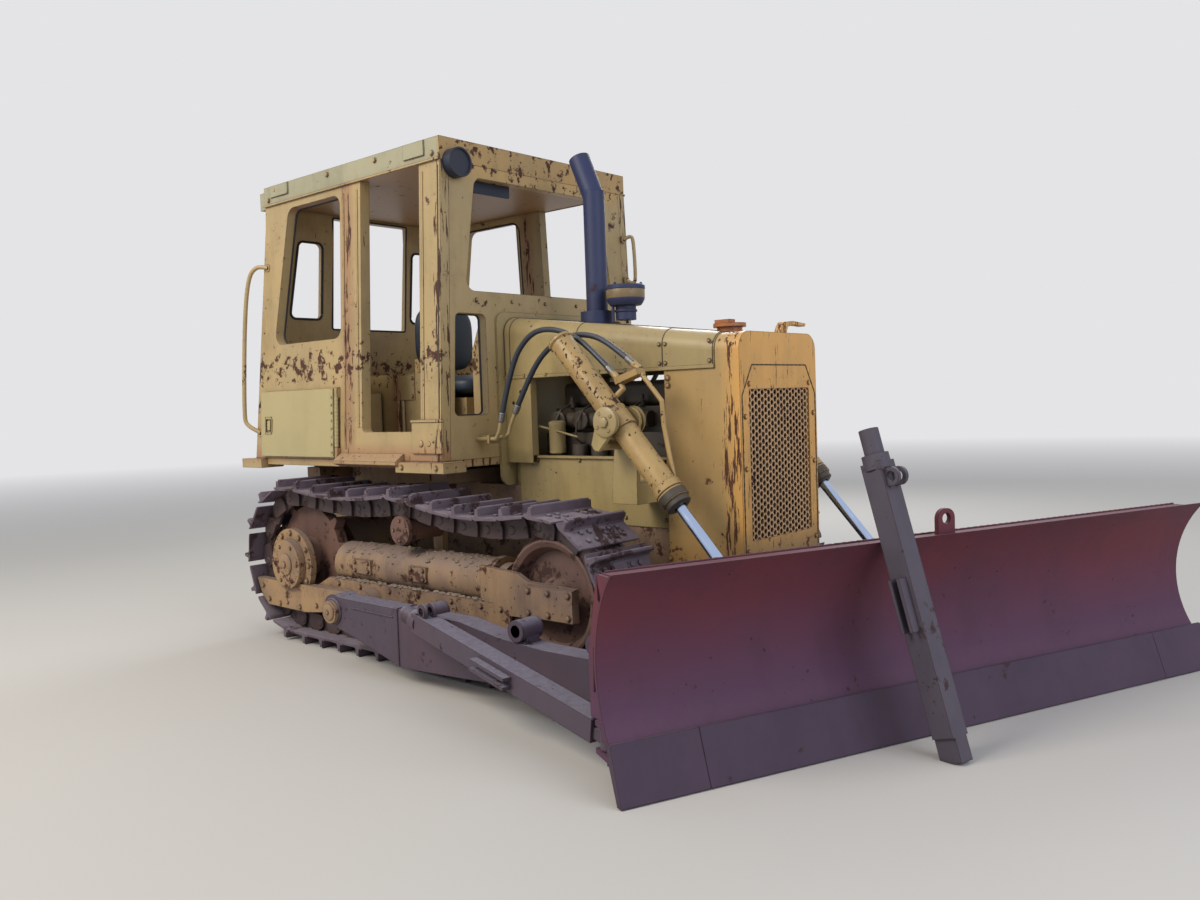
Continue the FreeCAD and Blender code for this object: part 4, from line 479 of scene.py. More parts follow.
HUB_Z = 455
hub_bolts = bolts(round_places(0, -930.0, HUB_Z, 178, 12), RIGHT, 14, 10)
hub_bolts += bolts(round_places(0, -970.0, HUB_Z, 112, 6), RIGHT, 9, 6)
hub_bolts.append(turned(((64, 0), (64, 6), (56, 11), (20, 12), (20, 20), (14, 22)), (0, -970, HUB_Z), RIGHT,
                        sides=32))
low_places = [(x, -944, z) for x, z in ((-300, 300), (-235, 225), (-120, 210), (90, 210), (260, 235), (430, 290))]
hub_bolts += bolts(low_places, RIGHT, 13, 9)
hub_bolts += bolts(round_places(1000, -904.0, 703, 52, 4), RIGHT, 8, 6)
for side, turn_over in SIDES:
    build("idler_wheel_" + side, turn_over([idler]), wheel_rust, stands_for=("idler_" + side,))
    build("hub_bolts_" + side, turn_over(hub_bolts), frame_paint)
    finish_nodes(wheel_rust, "sprocket_" + side, "rollers_" + side)
    finish_nodes(frame_paint, "sprocket_support_" + side, "final_drive_" + side)


# Track frames
# Two roller guards with the recoil spring's tube welded between them; the idler
# slides in a fork at the front. Thin paint under a coat of dried mud.
LIFT_PIVOT_X, LIFT_PIVOT_Z = 735, 295
frame_parts = []
for x0, x1 in ((550, 710), (1040, 1180)):
    places = [(x, -890, z) for x in (x0 + 22, x1 - 22) for z in (458, 504)]
    frame_parts += bolts(places, RIGHT, 10, 8)
frame_parts += bolts([(x, -918, z) for x in (1950, 2075, 2200) for z in (385, 485)], RIGHT, 13, 10)
frame_parts += bolts([(x, -896.5, z) for x in (420, 620, 880, 1120, 1380, 1600, 1740) for z in (222, 372)],
                     RIGHT, 12, 9)
frame_parts.append(turned(((44, 0), (44, 4), (34, 10), (12, 10), (12, 15)), (LIFT_PIVOT_X, -1178, LIFT_PIVOT_Z),
                          RIGHT, sides=24))


def clods(places, size, seed):
    """Lumps of dried earth: an eight-sided ball whose corners' radii are drawn between 0.6 and 1.2 of its size."""
    chance = np.random.default_rng(seed)
    ball, faces = turned(((0.2, -0.7), (0.85, -0.4), (1.0, 0.1), (0.7, 0.6), (0.15, 0.8)), (0, 0, 0), UP, 8)
    places = np.asarray(places, float)
    each = chance.uniform(0.35, 1.0, (len(places), 1, 1))
    scale = size * each * chance.uniform(0.6, 1.2, (len(places), len(ball), 1))
    points = places[:, None, :] + ball[None] * scale * (1.3, 1.0, 0.7)
    return points.reshape(-1, 3), repeated(faces, len(ball), len(places))


chance = np.random.default_rng(7)
over_tube = chance.uniform(-0.9, 0.5, 150)
on_tube = np.stack([chance.uniform(440, 1600, 150), SIDE_Y + 116 * np.sin(over_tube), 472 + 116 * np.cos(over_tube)],
                   axis=1)
on_shelf = np.stack([chance.uniform(380, 1720, 130), chance.uniform(-894, -862, 130), np.full(130, 401.0)], axis=1)
dry_earth = weathered("dried_earth", "#7C6D66", "#8A7A6C", rust="#5E5048", dust="#9A8A78", chips=0.3, edge=0.0,
                      dusty=0.6, grime=0.5, gloss=0.95, bump=0.5, grime_and_shade="#574C4A")
for side, turn_over in SIDES:
    build("earth_clods_" + side, turn_over([clods(on_tube, 15, 3), clods(on_shelf, 17, 4)]), dry_earth,
          crease=50)
    build("frame_bolts_" + side, turn_over(frame_parts), frame_paint)
    finish_nodes(frame_paint, "track_frame_" + side)
finish_nodes(frame_paint, "main_frame", "drawbar")


# Blade frame and braces
# Box arms welded from plate, worn to bare steel on top. Each brace is a square
# bar between a pivot eye and a threaded stub, with two clamp plates bolted round it.
arm_steel = weathered("worn_arm_steel", "#51404C", "#4C4352", rust="#34262C", dust="#7E7A8A", chips=0.6, edge=0.8,
                      dusty=0.95, grime=0.5, gloss=0.6, grime_and_shade="#3A2E38", specks=0.4)


def weld(start, end, radius=6.0):
    """Bead of weld between two points, its width rippling along the run as the electrode was weaved."""
    start, end = np.asarray(start, float), np.asarray(end, float)
    count = max(4, int(np.linalg.norm(end - start) / 14.0))
    t = np.linspace(0, 1, count)[:, None]
    return carried(start + (end - start) * t, radius * (1 + 0.22 * np.sin(np.arange(count) * 2.4)), 6)


def both(parts):
    """Solids with their copies on the other side of the centre plane."""
    return parts + mirrored(parts)


seams = []
for x in (1275.0, 2590.0):
    top = 366.0 if x < 2000 else 300.0
    low = 84.0 if x < 2000 else 130.0
    seams += [weld((x, -1151, low), (x, -1151, top)), weld((x, -1150, top), (x, -1030, top))]
for x in (1480.0, 2105.0, 2560.0):
    top = np.interp(x, (1270, 1730, 2000, 2250), (366, 358, 316, 300))
    seams += [weld((x - 44, -1134, top), (x + 44, -1134, top)), weld((x - 44, -1046, top), (x + 44, -1046, top))]
    for y0, y1 in ((-1156, -1150), (-1035, -1029)):
        seams.append(turned(((27, 0), (48, 0), (48, y1 - y0), (27, y1 - y0), (27, 0)), (x, y0, 362), LEFT, 28))
seams.append(turned(((41, 0), (72, 0), (72, 4), (66, 9), (41, 9), (41, 0)), (LIFT_PIVOT_X, -1150, LIFT_PIVOT_Z),
                    RIGHT, sides=32))
seams.append(weld((900, -1151, 330), (1240, -1151, 322), 4.0))
both_seams = both(seams)
for y0 in (-682.0, -594.0, 578.0, 666.0):
    both_seams += [weld((2958, y, 303), (3074, y, 303)) for y in (y0 + 17, y0 - 1)]
build("frame_welds", both_seams, arm_steel, "blade_frame")

front = np.array((2936.7, -1473.7, 150.0))
rear = np.array((1480.0, -1214.0, 362.0))
way = unit(rear - front)
level = unit(np.cross((0, 0, 1.0), way))
up = np.cross(way, level)


def on_bar(solid):
    """Turns a solid drawn along the brace, as (length, across, over), into its place."""
    points, faces = solid
    return front + points @ np.stack((way, level, up)), faces


def bar_details(length):
    """Threads, collar rings and clamp bolts of one brace, drawn along its bar."""
    grooves = [(38.5 + 3.0 * (i % 2), length - 28 + 7.0 * i) for i in range(13)]
    parts = [turned([(30, length - 30)] + grooves + [(30, length + 60)], (0, 0, 0), AHEAD, sides=20)]
    places = [(x, -58, z) for x in (length * 0.43, length * 0.49, length * 0.55) for z in (-19, 19)]
    parts += bolts(places, RIGHT, 12, 8)
    parts += [weld((length - 92, 40, 46), (length - 92, -40, 46), 7.0), weld((92, 40, 46), (92, -40, 46), 7.0)]
    at = length - 130
    for y in (-31, 31):
        parts.append(turned(((20, 0), (31, 0), (31, 4), (20, 4), (20, 0)), (at, y - 2, 67), LEFT, sides=24))
    return parts


span = float(np.linalg.norm(rear - front))
build("brace_fittings", [on_bar(part) for part in bar_details(span)], arm_steel, "brace")
finish_nodes(arm_steel, "c_frame", "right_brace")
loose_steel = weathered("worn_brace_steel", "#4B4450", "#544C58", rust="#3C2C30", dust="#7C7684", chips=0.6, edge=0.8,
                        dusty=0.9, grime=0.5, gloss=0.65, grime_and_shade="#322C38", specks=0.4)
finish_nodes(loose_steel, "left_brace")


# Blade
# Thick rolled face plate, primed dark red and scoured by soil, with hard steel
# edges bolted along its foot by flush plough bolts. The top edge is rubbed pale.
blade_paint = weathered("blade_primer", "#652630", "#542436", rust="#3E2228", dust="#7A5A68", chips=0.12, edge=0.9,
                        dusty=0.5, grime=0.5, gloss=0.7, grain=0.8, grime_and_shade="#3A2230", corners=0.3,
                        specks=0.4, bands=[("Z", 0.18, 0.44, 0.0, "#502D4A")])
edge_steel = weathered("scoured_edge_steel", "#514052", "#473849", rust="#443038", dust="#6C6070", chips=0.45, edge=0.7,
                       dusty=0.4, grime=0.4, gloss=0.8, metal=0.1, grime_and_shade="#33283A")
angle = math.radians(22.0)
blade_pivot = np.array((3160.0, 0.0, 0.0))
blade_axes = np.array(((math.cos(angle), -math.sin(angle), 0.0), (math.sin(angle), math.cos(angle), 0.0), (0, 0, 1.0)))


def on_blade(solid):
    """Turns a solid drawn on the blade, as (s forward, w to its left, z), by the blade's angle about its pivot."""
    points, faces = solid
    return blade_pivot + points @ blade_axes, faces


across_edge = (-1500, -1440, -1320, -1240) + tuple(range(-1150, 1151, 230)) + (1240, 1320, 1440, 1500)
plough_bolt = turned(((15, -3), (15, 2.0), (12, 3.5)), (0, 0, 0), (0.93, 0, 0.36), sides=14)
edge_bolts = [moved(plough_bolt, [(546, w, 127) for w in across_edge])]
edge_bolts += bolts([(494, w, 175) for w in range(-1380, 1381, 230)], (-1, 0, 0), 15, 14)
build("edge_bolts", [on_blade(part) for part in edge_bolts], edge_steel, "blade")
ribs = []
for w in (-1550, -1050, -600, -160, 160, 600, 1050, 1530):
    ribs += [weld((390, beside, 345), (398, beside, 500), 5.0) for beside in (w - 2, w + 22)]
ribs.append(weld((436, -1520, 762), (436, 1520, 762), 5.0))
build("blade_welds", [on_blade(part) for part in ribs], blade_paint, "blade")
in_blade = lambda spot: blade_axes @ (np.array(spot) * 1000.0 - SHIFT - blade_pivot)


def seated_ribs(node):
    """Merged copy of the ribs' mesh, which spans one rib's curved front by a triangle that cuts through the face
    plate: each edge whose middle lies ahead of the front curve s(z) is split and its middle set on that curve."""
    work = bmesh.new()
    work.from_mesh(node.data)
    bmesh.ops.remove_doubles(work, verts=work.verts, dist=1e-5)
    corners = [in_blade(vertex.co) for vertex in work.verts]
    heights, fronts = np.array(sorted((z, s) for s, w, z in corners if abs(w + 600) < 1 and s > 415)).T
    for _ in range(6):
        ahead = []
        for edge in work.edges:
            s, w, z = in_blade((edge.verts[0].co + edge.verts[1].co) / 2)
            if heights[0] < z < heights[-1] and s > np.interp(z, heights, fronts) + 0.5:
                ahead.append(edge)
        if not ahead:
            break
        split = bmesh.ops.subdivide_edges(work, edges=ahead, cuts=1)
        for vertex in (part for part in split["geom_inner"] if isinstance(part, bmesh.types.BMVert)):
            s, w, z = in_blade(vertex.co)
            vertex.co = machine(blade_axes.T @ (np.interp(z, heights, fronts), w, z) + blade_pivot)
        bmesh.ops.triangulate(work, faces=[face for face in work.faces if len(face.verts) > 3])
    work.verts.index_update()
    points = np.array([vertex.co for vertex in work.verts]) * 1000.0 - SHIFT
    faces = [[vertex.index for vertex in face.verts] for face in work.faces]
    work.free()
    return points, faces


build("blade_ribbing", [seated_ribs(nodes["blade_back"])], blade_paint, "blade",
      stands_for=("blade_back",), crease=30)
finish_nodes(blade_paint, "blade_plate")
finish_nodes(edge_steel, "cutting_edge")


# Hood and side sheets
# Pressed steel sheet in three lengths, brush-painted many times; screws along the
# joints. The engine side doors are gone, so the sheets end at the belt line.
hood_paint = weathered("hood_enamel", "#AF9A66", "#A08E66", dust="#B5A27C", chips=0.25, edge=0.65, dusty=0.45,
                       grime=0.55, gloss=0.38, grime_and_shade="#74633F", specks=0.25)
# The nose's first band tints the front face brighter and more orange: painted light on that face.
nose_paint = weathered("nose_enamel", "#BC9A62", "#AE9160", rust="#6A3B26", dust="#BFA27A", chips=0.35, edge=0.8,
                       dusty=0.35, grime=0.45, grime_and_shade="#80663F", specks=0.4,
                       bands=[("X", 0.98, 0.16, 0.0, "#DFA656"), ("X", 0.878, 0.075, -0.165, None),
                              ("Z", 0.56, 0.2, 0.11, "#9A7848")])
# Dark strips over joints and grooves: grime, and painted shade in the gaps.
seam_grime_and_shade = weathered("grimy_seam_painted_shade", "#3A332B", "#4A4136", chips=0.2, edge=0.2, dusty=0.3, grime=0.5, gloss=0.8)
HOOD_REAR, HOOD_FRONT, HOOD_HALF, HOOD_FOOT = 1250.0, 2620.0, 345.0, 1476.0
REAR_TOP, FRONT_TOP, HOOD_ROUND = 1812.0, 1640.0, 85.0


def hood_ring(x):
    """Hood outline at one station: side up, quarter turn, across, quarter turn, side down."""
    top = REAR_TOP + (x - HOOD_REAR) * (FRONT_TOP - REAR_TOP) / (HOOD_FRONT - HOOD_REAR)
    half, r = HOOD_HALF, HOOD_ROUND
    t = np.linspace(0, math.pi / 2, 9)
    right = np.stack([-half + r - r * np.cos(t), top - r + r * np.sin(t)], axis=1)
    left = np.stack([half - r + r * np.sin(t), top - r + r * np.cos(t)], axis=1)
    flat = np.concatenate([[(-half, HOOD_FOOT)], right, left, [(half, HOOD_FOOT)]])
    return np.column_stack([np.full(len(flat), x), flat])


# Dark strips along the sheets' joints: grime, and painted shade of the gaps.
seam_lines = [carried(hood_ring(x), 3.0, 6) for x in (1255.0, 1296.0, 1780.0, 2327.0, 2613.0)]
seam_lines.append(carried([(1252, 0, 1813), (2620, 0, 1641)], 3.0, 6))
build("hood_seams", seam_lines, seam_grime_and_shade)
screws = []
for x in (1762.0, 1798.0, 2310.0, 2345.0, 2597.0):
    for z in (1510, 1600):
        screws += bolts([(x, -346.5, z)], RIGHT, 8, 5) + bolts([(x, 346.5, z)], LEFT, 8, 5)
screws += bolts([(x, -346.5, 1490) for x in (1400, 1560, 1930, 2100)], RIGHT, 7, 5)
screws += bolts([(x, -306.5, z) for x in (1440, 1740, 2040, 2290) for z in (760, 1040)], RIGHT, 8, 5)
fold = prism([(-349, 1476), (-349, 1494), (-345, 1494), (-345, 1476)], 1252, 2620, "cab")
sill = prism([(-300, 1065), (-318, 1065), (-318, 1050), (-305, 1050), (-305, 1058), (-300, 1058)], 1446, 2330, "cab")
build("hood_trim", screws + both([fold, sill]), hood_paint, crease=30)
finish_nodes(hood_paint, "hood", "side_panels", "cowl", "lift_pipes")


# Radiator guard
# A heavy nose welded from plate, with a grille of punched steel held behind its
# front opening. The punched holes are round; each column is half a step off the next.
GRILLE_HALF, GRILLE_LOW, GRILLE_HIGH = 267.0, 683.0, 1373.0
COLUMNS, ROWS, HOLE = 10, 43, 12.4
step_y = 2 * (GRILLE_HALF - 5.0) / (COLUMNS - 0.5)
step_z = (GRILLE_HIGH - GRILLE_LOW) / ROWS
row, column = np.meshgrid(np.arange(-1, ROWS + 2), np.arange(-1, COLUMNS + 2), indexing="ij")
centre_y = (-GRILLE_HALF + 5.0 + step_y * (column + 0.5 * (row % 2))).ravel()
centre_z = (GRILLE_LOW + step_z * row).ravel()
keep = (np.abs(centre_y) < GRILLE_HALF + 20) & (centre_z > GRILLE_LOW - 22) & (centre_z < GRILLE_HIGH + 22)
centre_y, centre_z = centre_y[keep], centre_z[keep]
t = full_turn(8)
# each hole's share of the plate is a diamond: its corners lie on the axes, its edges' middles between them
reach_y = step_y * np.array([2, 1, 0, -1, -2, -1, 0, 1]) / 4
reach_z = step_z * np.array([0, 1, 2, 1, 0, -1, -2, -1]) / 2
rim_y, rim_z = HOLE * np.cos(t), HOLE * np.sin(t)
front_x, back_x = 2749.0, 2743.0
shells = []
for x, oy, oz in ((front_x, reach_y, reach_z), (front_x, rim_y, rim_z), (back_x, rim_y, rim_z),
                  (back_x, reach_y, reach_z)):
    y, z = centre_y[:, None] + oy, centre_z[:, None] + oz
    shells.append(np.stack([np.full_like(y, x), y, z], axis=-1))
points = np.stack(shells, axis=1)
points[..., 1] = np.clip(points[..., 1], -GRILLE_HALF - 4, GRILLE_HALF + 4)
points[..., 2] = np.clip(points[..., 2], GRILLE_LOW - 4, GRILLE_HIGH + 4)
cell = np.arange(len(centre_y))[:, None, None] * 32
level_of = np.arange(3)[None, :, None] * 8
i = np.arange(8)[None, None, :]
j = (i + 1) % 8
quads = np.stack([cell + level_of + i, cell + level_of + j, cell + level_of + 8 + j, cell + level_of + 8 + i], axis=-1)
grille_paint = weathered("punched_grille_enamel", "#CDA474", "#C29A6C", rust="#5E3626", dust="#B59A78", chips=0.4,
                         edge=0.9, dusty=0.3, grime=0.5, grime_and_shade="#7C5E42", specks=0.5)
build("punched_grille", [(points.reshape(-1, 3), quads.reshape(-1, 4).tolist())], grille_paint,
      stands_for=("grille",), crease=25)
NOSE_FRONT = 2752
front_places = [(NOSE_FRONT, y, z) for y in (-304, 304) for z in (640, 1014, 1250)]
front_places += [(NOSE_FRONT, y, 1398) for y in (-266, 264)]
nose_parts = bolts(front_places, AHEAD, 10, 7)
nose_parts += bolts([(x, -341.5, z) for x, z in ((2352, 1440), (2352, 1405), (2338, 585), (2488, 572), (2352, 900))],
                    RIGHT, 11, 7)
inset = [(NOSE_FRONT, y, z)
         for y, z in ((-326, 600), (-326, 1345), (-240, 1484), (240, 1484), (326, 1345), (326, 600))]
# Dark beads along the edges of the front panel: grime, and painted shade of its joints.
build("nose_seams", [weld(inset[k], inset[k + 1], 3.4) for k in range(5)], seam_grime_and_shade)
build("nose_fittings", nose_parts, nose_paint, crease=30)
finish_nodes(nose_paint, "radiator_guard")
cap_paint = weathered("rusted_cap_enamel", "#B4713F", "#A0623A", rust="#5E3020", dust="#B08A66", chips=0.8, edge=0.9,
                      dusty=0.4, grime=0.5, grime_and_shade="#6E4830", specks=0.6)
finish_nodes(cap_paint, "filler_cap")


# Engine bay
# Cast block with its injection lines, the fan behind the radiator and its pulley,
# all black with old oil and dust.
engine_iron = weathered("oily_engine_iron", "#3A332C", "#4A4034", rust="#3A2319", dust="#6E604E", chips=0.5, edge=0.3,
                        dusty=0.5, grime=0.6, gloss=0.5, bump=0.4, grime_and_shade="#241F1B")
FAN_Z = 1080
engine_parts = []
for k in range(4):
    x = 1530 + 160 * k
    line = np.array([(x, -215, 1120), (x - 12, -262, 1150), (x + 6, -268, 1235), (x + 20, -232, 1300),
                     (x + 30, -170, 1330)])
    fine = np.linspace(0, 4, 25)
    engine_parts.append(carried(np.stack([np.interp(fine, range(5), line[:, a]) for a in range(3)], axis=1), 6, 8))
    engine_parts.append(turned(((20, 0), (20, 30), (12, 34), (12, 60)), (x + 30, -150, 1310), UP, sides=12))
    engine_parts.append(turned(((52, 0), (52, 16), (46, 20)), (x, -222, 1245), RIGHT, sides=16))
engine_parts.append(turned(((40, 0), (150, 0), (150, 8), (40, 8)), (2270, 0, FAN_Z), AHEAD, sides=32))
for k in range(6):
    a = math.radians(60 * k)
    u, v = np.array((0, math.cos(a), math.sin(a))), np.array((0, -math.sin(a), math.cos(a)))
    corner = np.array((2300.0, 0, FAN_Z))
    blade = [corner + 60 * u - 30 * v, corner + 235 * u - 62 * v + (26, 0, 0),
             corner + 235 * u + 62 * v - (26, 0, 0), corner + 60 * u + 30 * v]
    engine_parts.append((np.array(blade + [p + (3, 0, 0) for p in blade]),
                         [[0, 1, 2, 3], [7, 6, 5, 4], [0, 4, 5, 1], [1, 5, 6, 2], [2, 6, 7, 3], [3, 7, 4, 0]]))
engine_parts.append(turned(((75, 0), (75, 14), (68, 20), (75, 26), (75, 40)), (2235, -170, 1200), AHEAD, sides=24))
build("engine_fittings", engine_parts, engine_iron, crease=30)
canister = turned(((20, 0), (42, 4), (44, 12), (44, 150), (46, 154), (46, 168), (30, 176)),
                  (1548, -262, 1070), UP, sides=28)
stick = carried([(1404, -285, 1225), (1560, -292, 1196), (1714, -285, 1160)], 6, 8)
plug = turned(((12, 0), (12, 30)), (1404, -285, 1218), (-0.98, 0, 0.18), sides=10)
build("filter_and_dipstick", [canister, stick, plug], hood_paint)
finish_nodes(engine_iron, "engine")
core_black = weathered("sooty_core_black", "#15120F", "#1C1814", rust="#20140E", dust="#2E2820", chips=0.3, edge=0.2,
                       dusty=0.3, grime=0.4, gloss=0.9, grime_and_shade="#0F0D0B")
finish_nodes(core_black, "radiator")


# Stacks
# Sheet pipes rolled and welded: the exhaust ends in a slant-cut bend, the air
# intake in a belted bowl that spins the dust out, between a black foot and lid.
burnt = weathered("burnt_pipe", "#1E2A52", "#2A3154", rust="#3C2E40", dust="#444660", chips=0.55, edge=0.5,
                  dusty=0.25, grime=0.3, gloss=0.55, bump=0.4, grime_and_shade="#26262B")
bowl_paint = weathered("precleaner_enamel", "#8A7654", "#7A684C", rust="#4A3226", dust="#8C8069", chips=0.4, edge=0.7,
                       dusty=0.4, grime=0.6, grime_and_shade="#4B4236")
STACK_X = 1830
bowl = [turned(((99, 0), (102, 6), (102.5, 46), (100, 52)), (STACK_X, 0, 1874), UP, sides=48)]
trim = [turned(((54, 0), (54, 40), (60, 43), (60, 52), (54, 55), (54, 84)), (STACK_X, 0, 1765), UP, sides=32),
        turned(((52, 0), (82, 3), (92, 16), (101, 34), (101, 40), (96, 44)), (STACK_X, 0, 1838), UP, sides=48),
        turned(((98, 0), (104, 3), (104, 20), (98, 26), (60, 30), (0.5, 31)), (STACK_X, 0, 1922), UP, sides=48)]
trim += [turned(((7, 0), (7, 9), (4, 12)), (STACK_X + 84 * math.cos(a), 84 * math.sin(a), 1948), UP, 6)
         for a in (0.5, 2.6, 4.7)]
trim += [turned(((8, 0), (8, 96)), (1790, y, 1752), UP, sides=10) for y in (-58, 58)]
build("intake_bowl", bowl, bowl_paint, stands_for=("precleaner",))
build("intake_trim", trim, burnt, stands_for=("precleaner",))
finish_nodes(burnt, "exhaust_stack")


# Lift cylinders
# Seamless barrels clamped in trunnion yokes beside the radiator, with hard
# chromed rods. The glands are screwed in, and each yoke ear is capped.
chrome = bpy.data.materials.new("hard_chrome_painted_sky")
tree = empty_tree(chrome)
place = add(tree, "TexCoord").outputs["Object"]
smear = add(tree, "TexNoise", {"Vector": place}, Scale=9.0, Detail=5.0, Roughness=0.6)
wipe = add(tree, "MapRange", {"Value": smear.outputs["Fac"]}, From_Min=0.4, From_Max=0.7, To_Min=0.10, To_Max=0.32)
# Its base colour is tinted blue: a painted reflection of sky on the chrome.
skin = add(tree, "BsdfPrincipled", {"Base Color": linear("#B0C2E2"), "Roughness": wipe.outputs["Result"]}, Metallic=1.0)
add(tree, "OutputMaterial", {"Surface": skin.outputs[0]})
TRUNNION_X, TRUNNION_Z, CYLINDER_Y = 2285.0, 1247.0, -630.0
trunnion = np.array((TRUNNION_X, CYLINDER_Y, TRUNNION_Z))
rod_eye = np.array((3016.0, CYLINDER_Y, 425.0))
down = unit(rod_eye - trunnion)
barrel_paint = weathered("barrel_enamel", "#B4955F", "#A08350", rust="#38231C", chips=0.72, edge=0.8, dusty=0.35,
                         grime=0.55, grime_and_shade="#655036", specks=1.15)
barrel_parts = [turned(((62, 0), (66, 4), (66, 16), (58, 22)), trunnion - down * 522, down, sides=32),
                turned(((30, 0), (44, 0), (50, 8), (50, 20)), trunnion - down * 530, down, sides=24),
                turned(((60, 0), (68, 3), (68, 40), (58, 44)), trunnion + down * 380, down, sides=32)]
gland = [turned(((30, 0), (69, 0), (69, 34), (60, 40), (60, 64), (46, 72), (30, 72), (30, 0)),
                trunnion + down * 432, down, sides=32)]
yoke_parts = []
for y0 in (-720.0, -530.0):
    out = -1.0 if y0 < CYLINDER_Y else 1.0
    face = (TRUNNION_X, y0, TRUNNION_Z)
    yoke_parts.append(turned(((62, 0), (70, 0), (70, 8), (60, 14)), face, (0, out, 0), sides=32))
    yoke_parts.append(turned(((26, 14), (26, 24), (18, 28)), face, (0, out, 0), sides=6))
    spots = [(TRUNNION_X + 46 * math.cos(a), y0 + out * 9, TRUNNION_Z + 46 * math.sin(a))
             for a in (0.6, 2.2, 3.7, 5.3)]
    yoke_parts += bolts(spots, (0, out, 0), 8, 6)
for side, turn_over in SIDES:
    build("barrel_rings_" + side, turn_over(barrel_parts), barrel_paint, "barrel_" + side)
    build("gland_" + side, turn_over(gland), engine_iron, "barrel_" + side)
    build("yoke_caps_" + side, turn_over(yoke_parts), hood_paint)
    finish_nodes(barrel_paint, "lift_barrel_" + side)
    finish_nodes(hood_paint, "cylinder_bracket_" + side)
    finish_nodes(chrome, "lift_rod_" + side)


# Cab
# Pressed and welded posts and panels under a boxed roof. Faded paint, scabs of
# rust where rain stood, and bare rubber channels where the panes were.
# On the cab and the roof, the tint of the faces that look down is painted shade.
cab_paint = weathered("faded_cab_enamel", "#B89E6E", "#A8946C", chips=0.5, edge=0.8, dusty=0.5, grime=0.55,
                      grime_and_shade="#7A6648", specks=0.35, underside_shade="#96755A",
                      bands=[("Z", 1.60, 0.17, 0.14, None), ("X", -1.385, 0.075, -0.14, "#A3805C"),
                             ("X", -0.60, 0.05, -0.13, None), ("Z", 1.09, 0.07, -0.06, "#A98460")])
header_paint = weathered("scabbed_header_enamel", "#B89E6E", "#A8946C", rust="#54302A", chips=0.5, edge=0.8, dusty=0.5,
                         grime=0.55, grime_and_shade="#7A6648", specks=0.35, bands=[("Z", 2.60, 0.11, 0.13, "#BC9A62")])
roof_paint = weathered("chalky_roof_enamel", "#A9A487", "#9E9A80", chips=0.42, edge=0.8, dusty=0.5, grime=0.55,
                       grime_and_shade="#716B55", specks=0.3, underside_shade="#A07D5A",
                       bands=[("X", -0.583, 0.02, 0.105, "#B5935E")])
pane_rubber = weathered("perished_rubber", "#23242C", "#2E2C33", rust="#1E1D22", dust="#5A544E", chips=0.1, edge=0.1,
                        dusty=0.3, grime=0.3, gloss=0.7)
BASE_HALF, TOP_HALF, BASE_Z, TOP_Z = 800.0, 732.0, 1060.0, 2603.0
REAR_BASE_X, REAR_LEAN, REAR_TOP_Z, PANE_DEPTH = -560.0, 140.0, 2473.0, 42.0
lean = math.atan((BASE_HALF - TOP_HALF) / (TOP_Z - BASE_Z))


def leaned(solid):
    """Tips a solid drawn on the upright right wall by the cab's lean, about the wall's foot."""
    points, faces = solid
    y, z = points[:, 1] + BASE_HALF, points[:, 2] - BASE_Z
    tipped = points.copy()
    tipped[:, 1] = -BASE_HALF + y * math.cos(lean) + z * math.sin(lean)
    tipped[:, 2] = BASE_Z - y * math.sin(lean) + z * math.cos(lean)
    return tipped, faces


def rounded_loop(corners, radius, count=6):
    """Closed path with an arc at each corner: centre + radius * (cos t, sin t) between the two sides."""
    corners = np.asarray(corners, float)
    path = []
    for k in range(len(corners)):
        here = corners[k]
        back, on = unit(corners[k - 1] - here), unit(corners[(k + 1) % len(corners)] - here)
        half = math.acos(np.clip(back @ on, -1, 1)) / 2
        middle = here + unit(back + on) * radius / math.sin(half)
        a = here + back * radius / math.tan(half) - middle
        b = here + on * radius / math.tan(half) - middle
        t = np.linspace(0, 1, count)[:, None]
        path.append(middle + unit(a * (1 - t) + b * t) * radius)
    return np.concatenate(path + [path[0][:1]])


seals = []
window = rounded_loop([(-330, 1750), (365, 1750), (365, 2560), (-165, 2560)], 65)
seals.append(leaned(carried(np.column_stack([window[:, 0], np.full(len(window), -742.0), window[:, 1]]), 7, 6)))
rear_x = lambda z: REAR_BASE_X + (z - BASE_Z) / (REAR_TOP_Z - BASE_Z) * REAR_LEAN + PANE_DEPTH
pane = rounded_loop([(-360, 1930), (-592, 1930), (-535, 2412), (-360, 2412)], 36)
seals.append(carried(np.column_stack([[rear_x(z) for z in pane[:, 1]], pane]), 8, 6))
middle_pane = rounded_loop([(-278, 1870), (315, 1870), (315, 2585), (-278, 2585)], 14)
low_pane = rounded_loop([(-460, 1290), (-700, 1290), (-668, 1825), (-460, 1825)], 30)
seals.append(carried(np.column_stack([np.full(len(low_pane), 1183.0), low_pane]), 7, 6))
both_seals = both(seals)
set_back = [rear_x(min(z, REAR_TOP_Z)) for z in middle_pane[:, 1]]
both_seals.append(carried(np.column_stack([set_back, middle_pane]), 6, 6))
build("pane_channels", both_seals, pane_rubber)

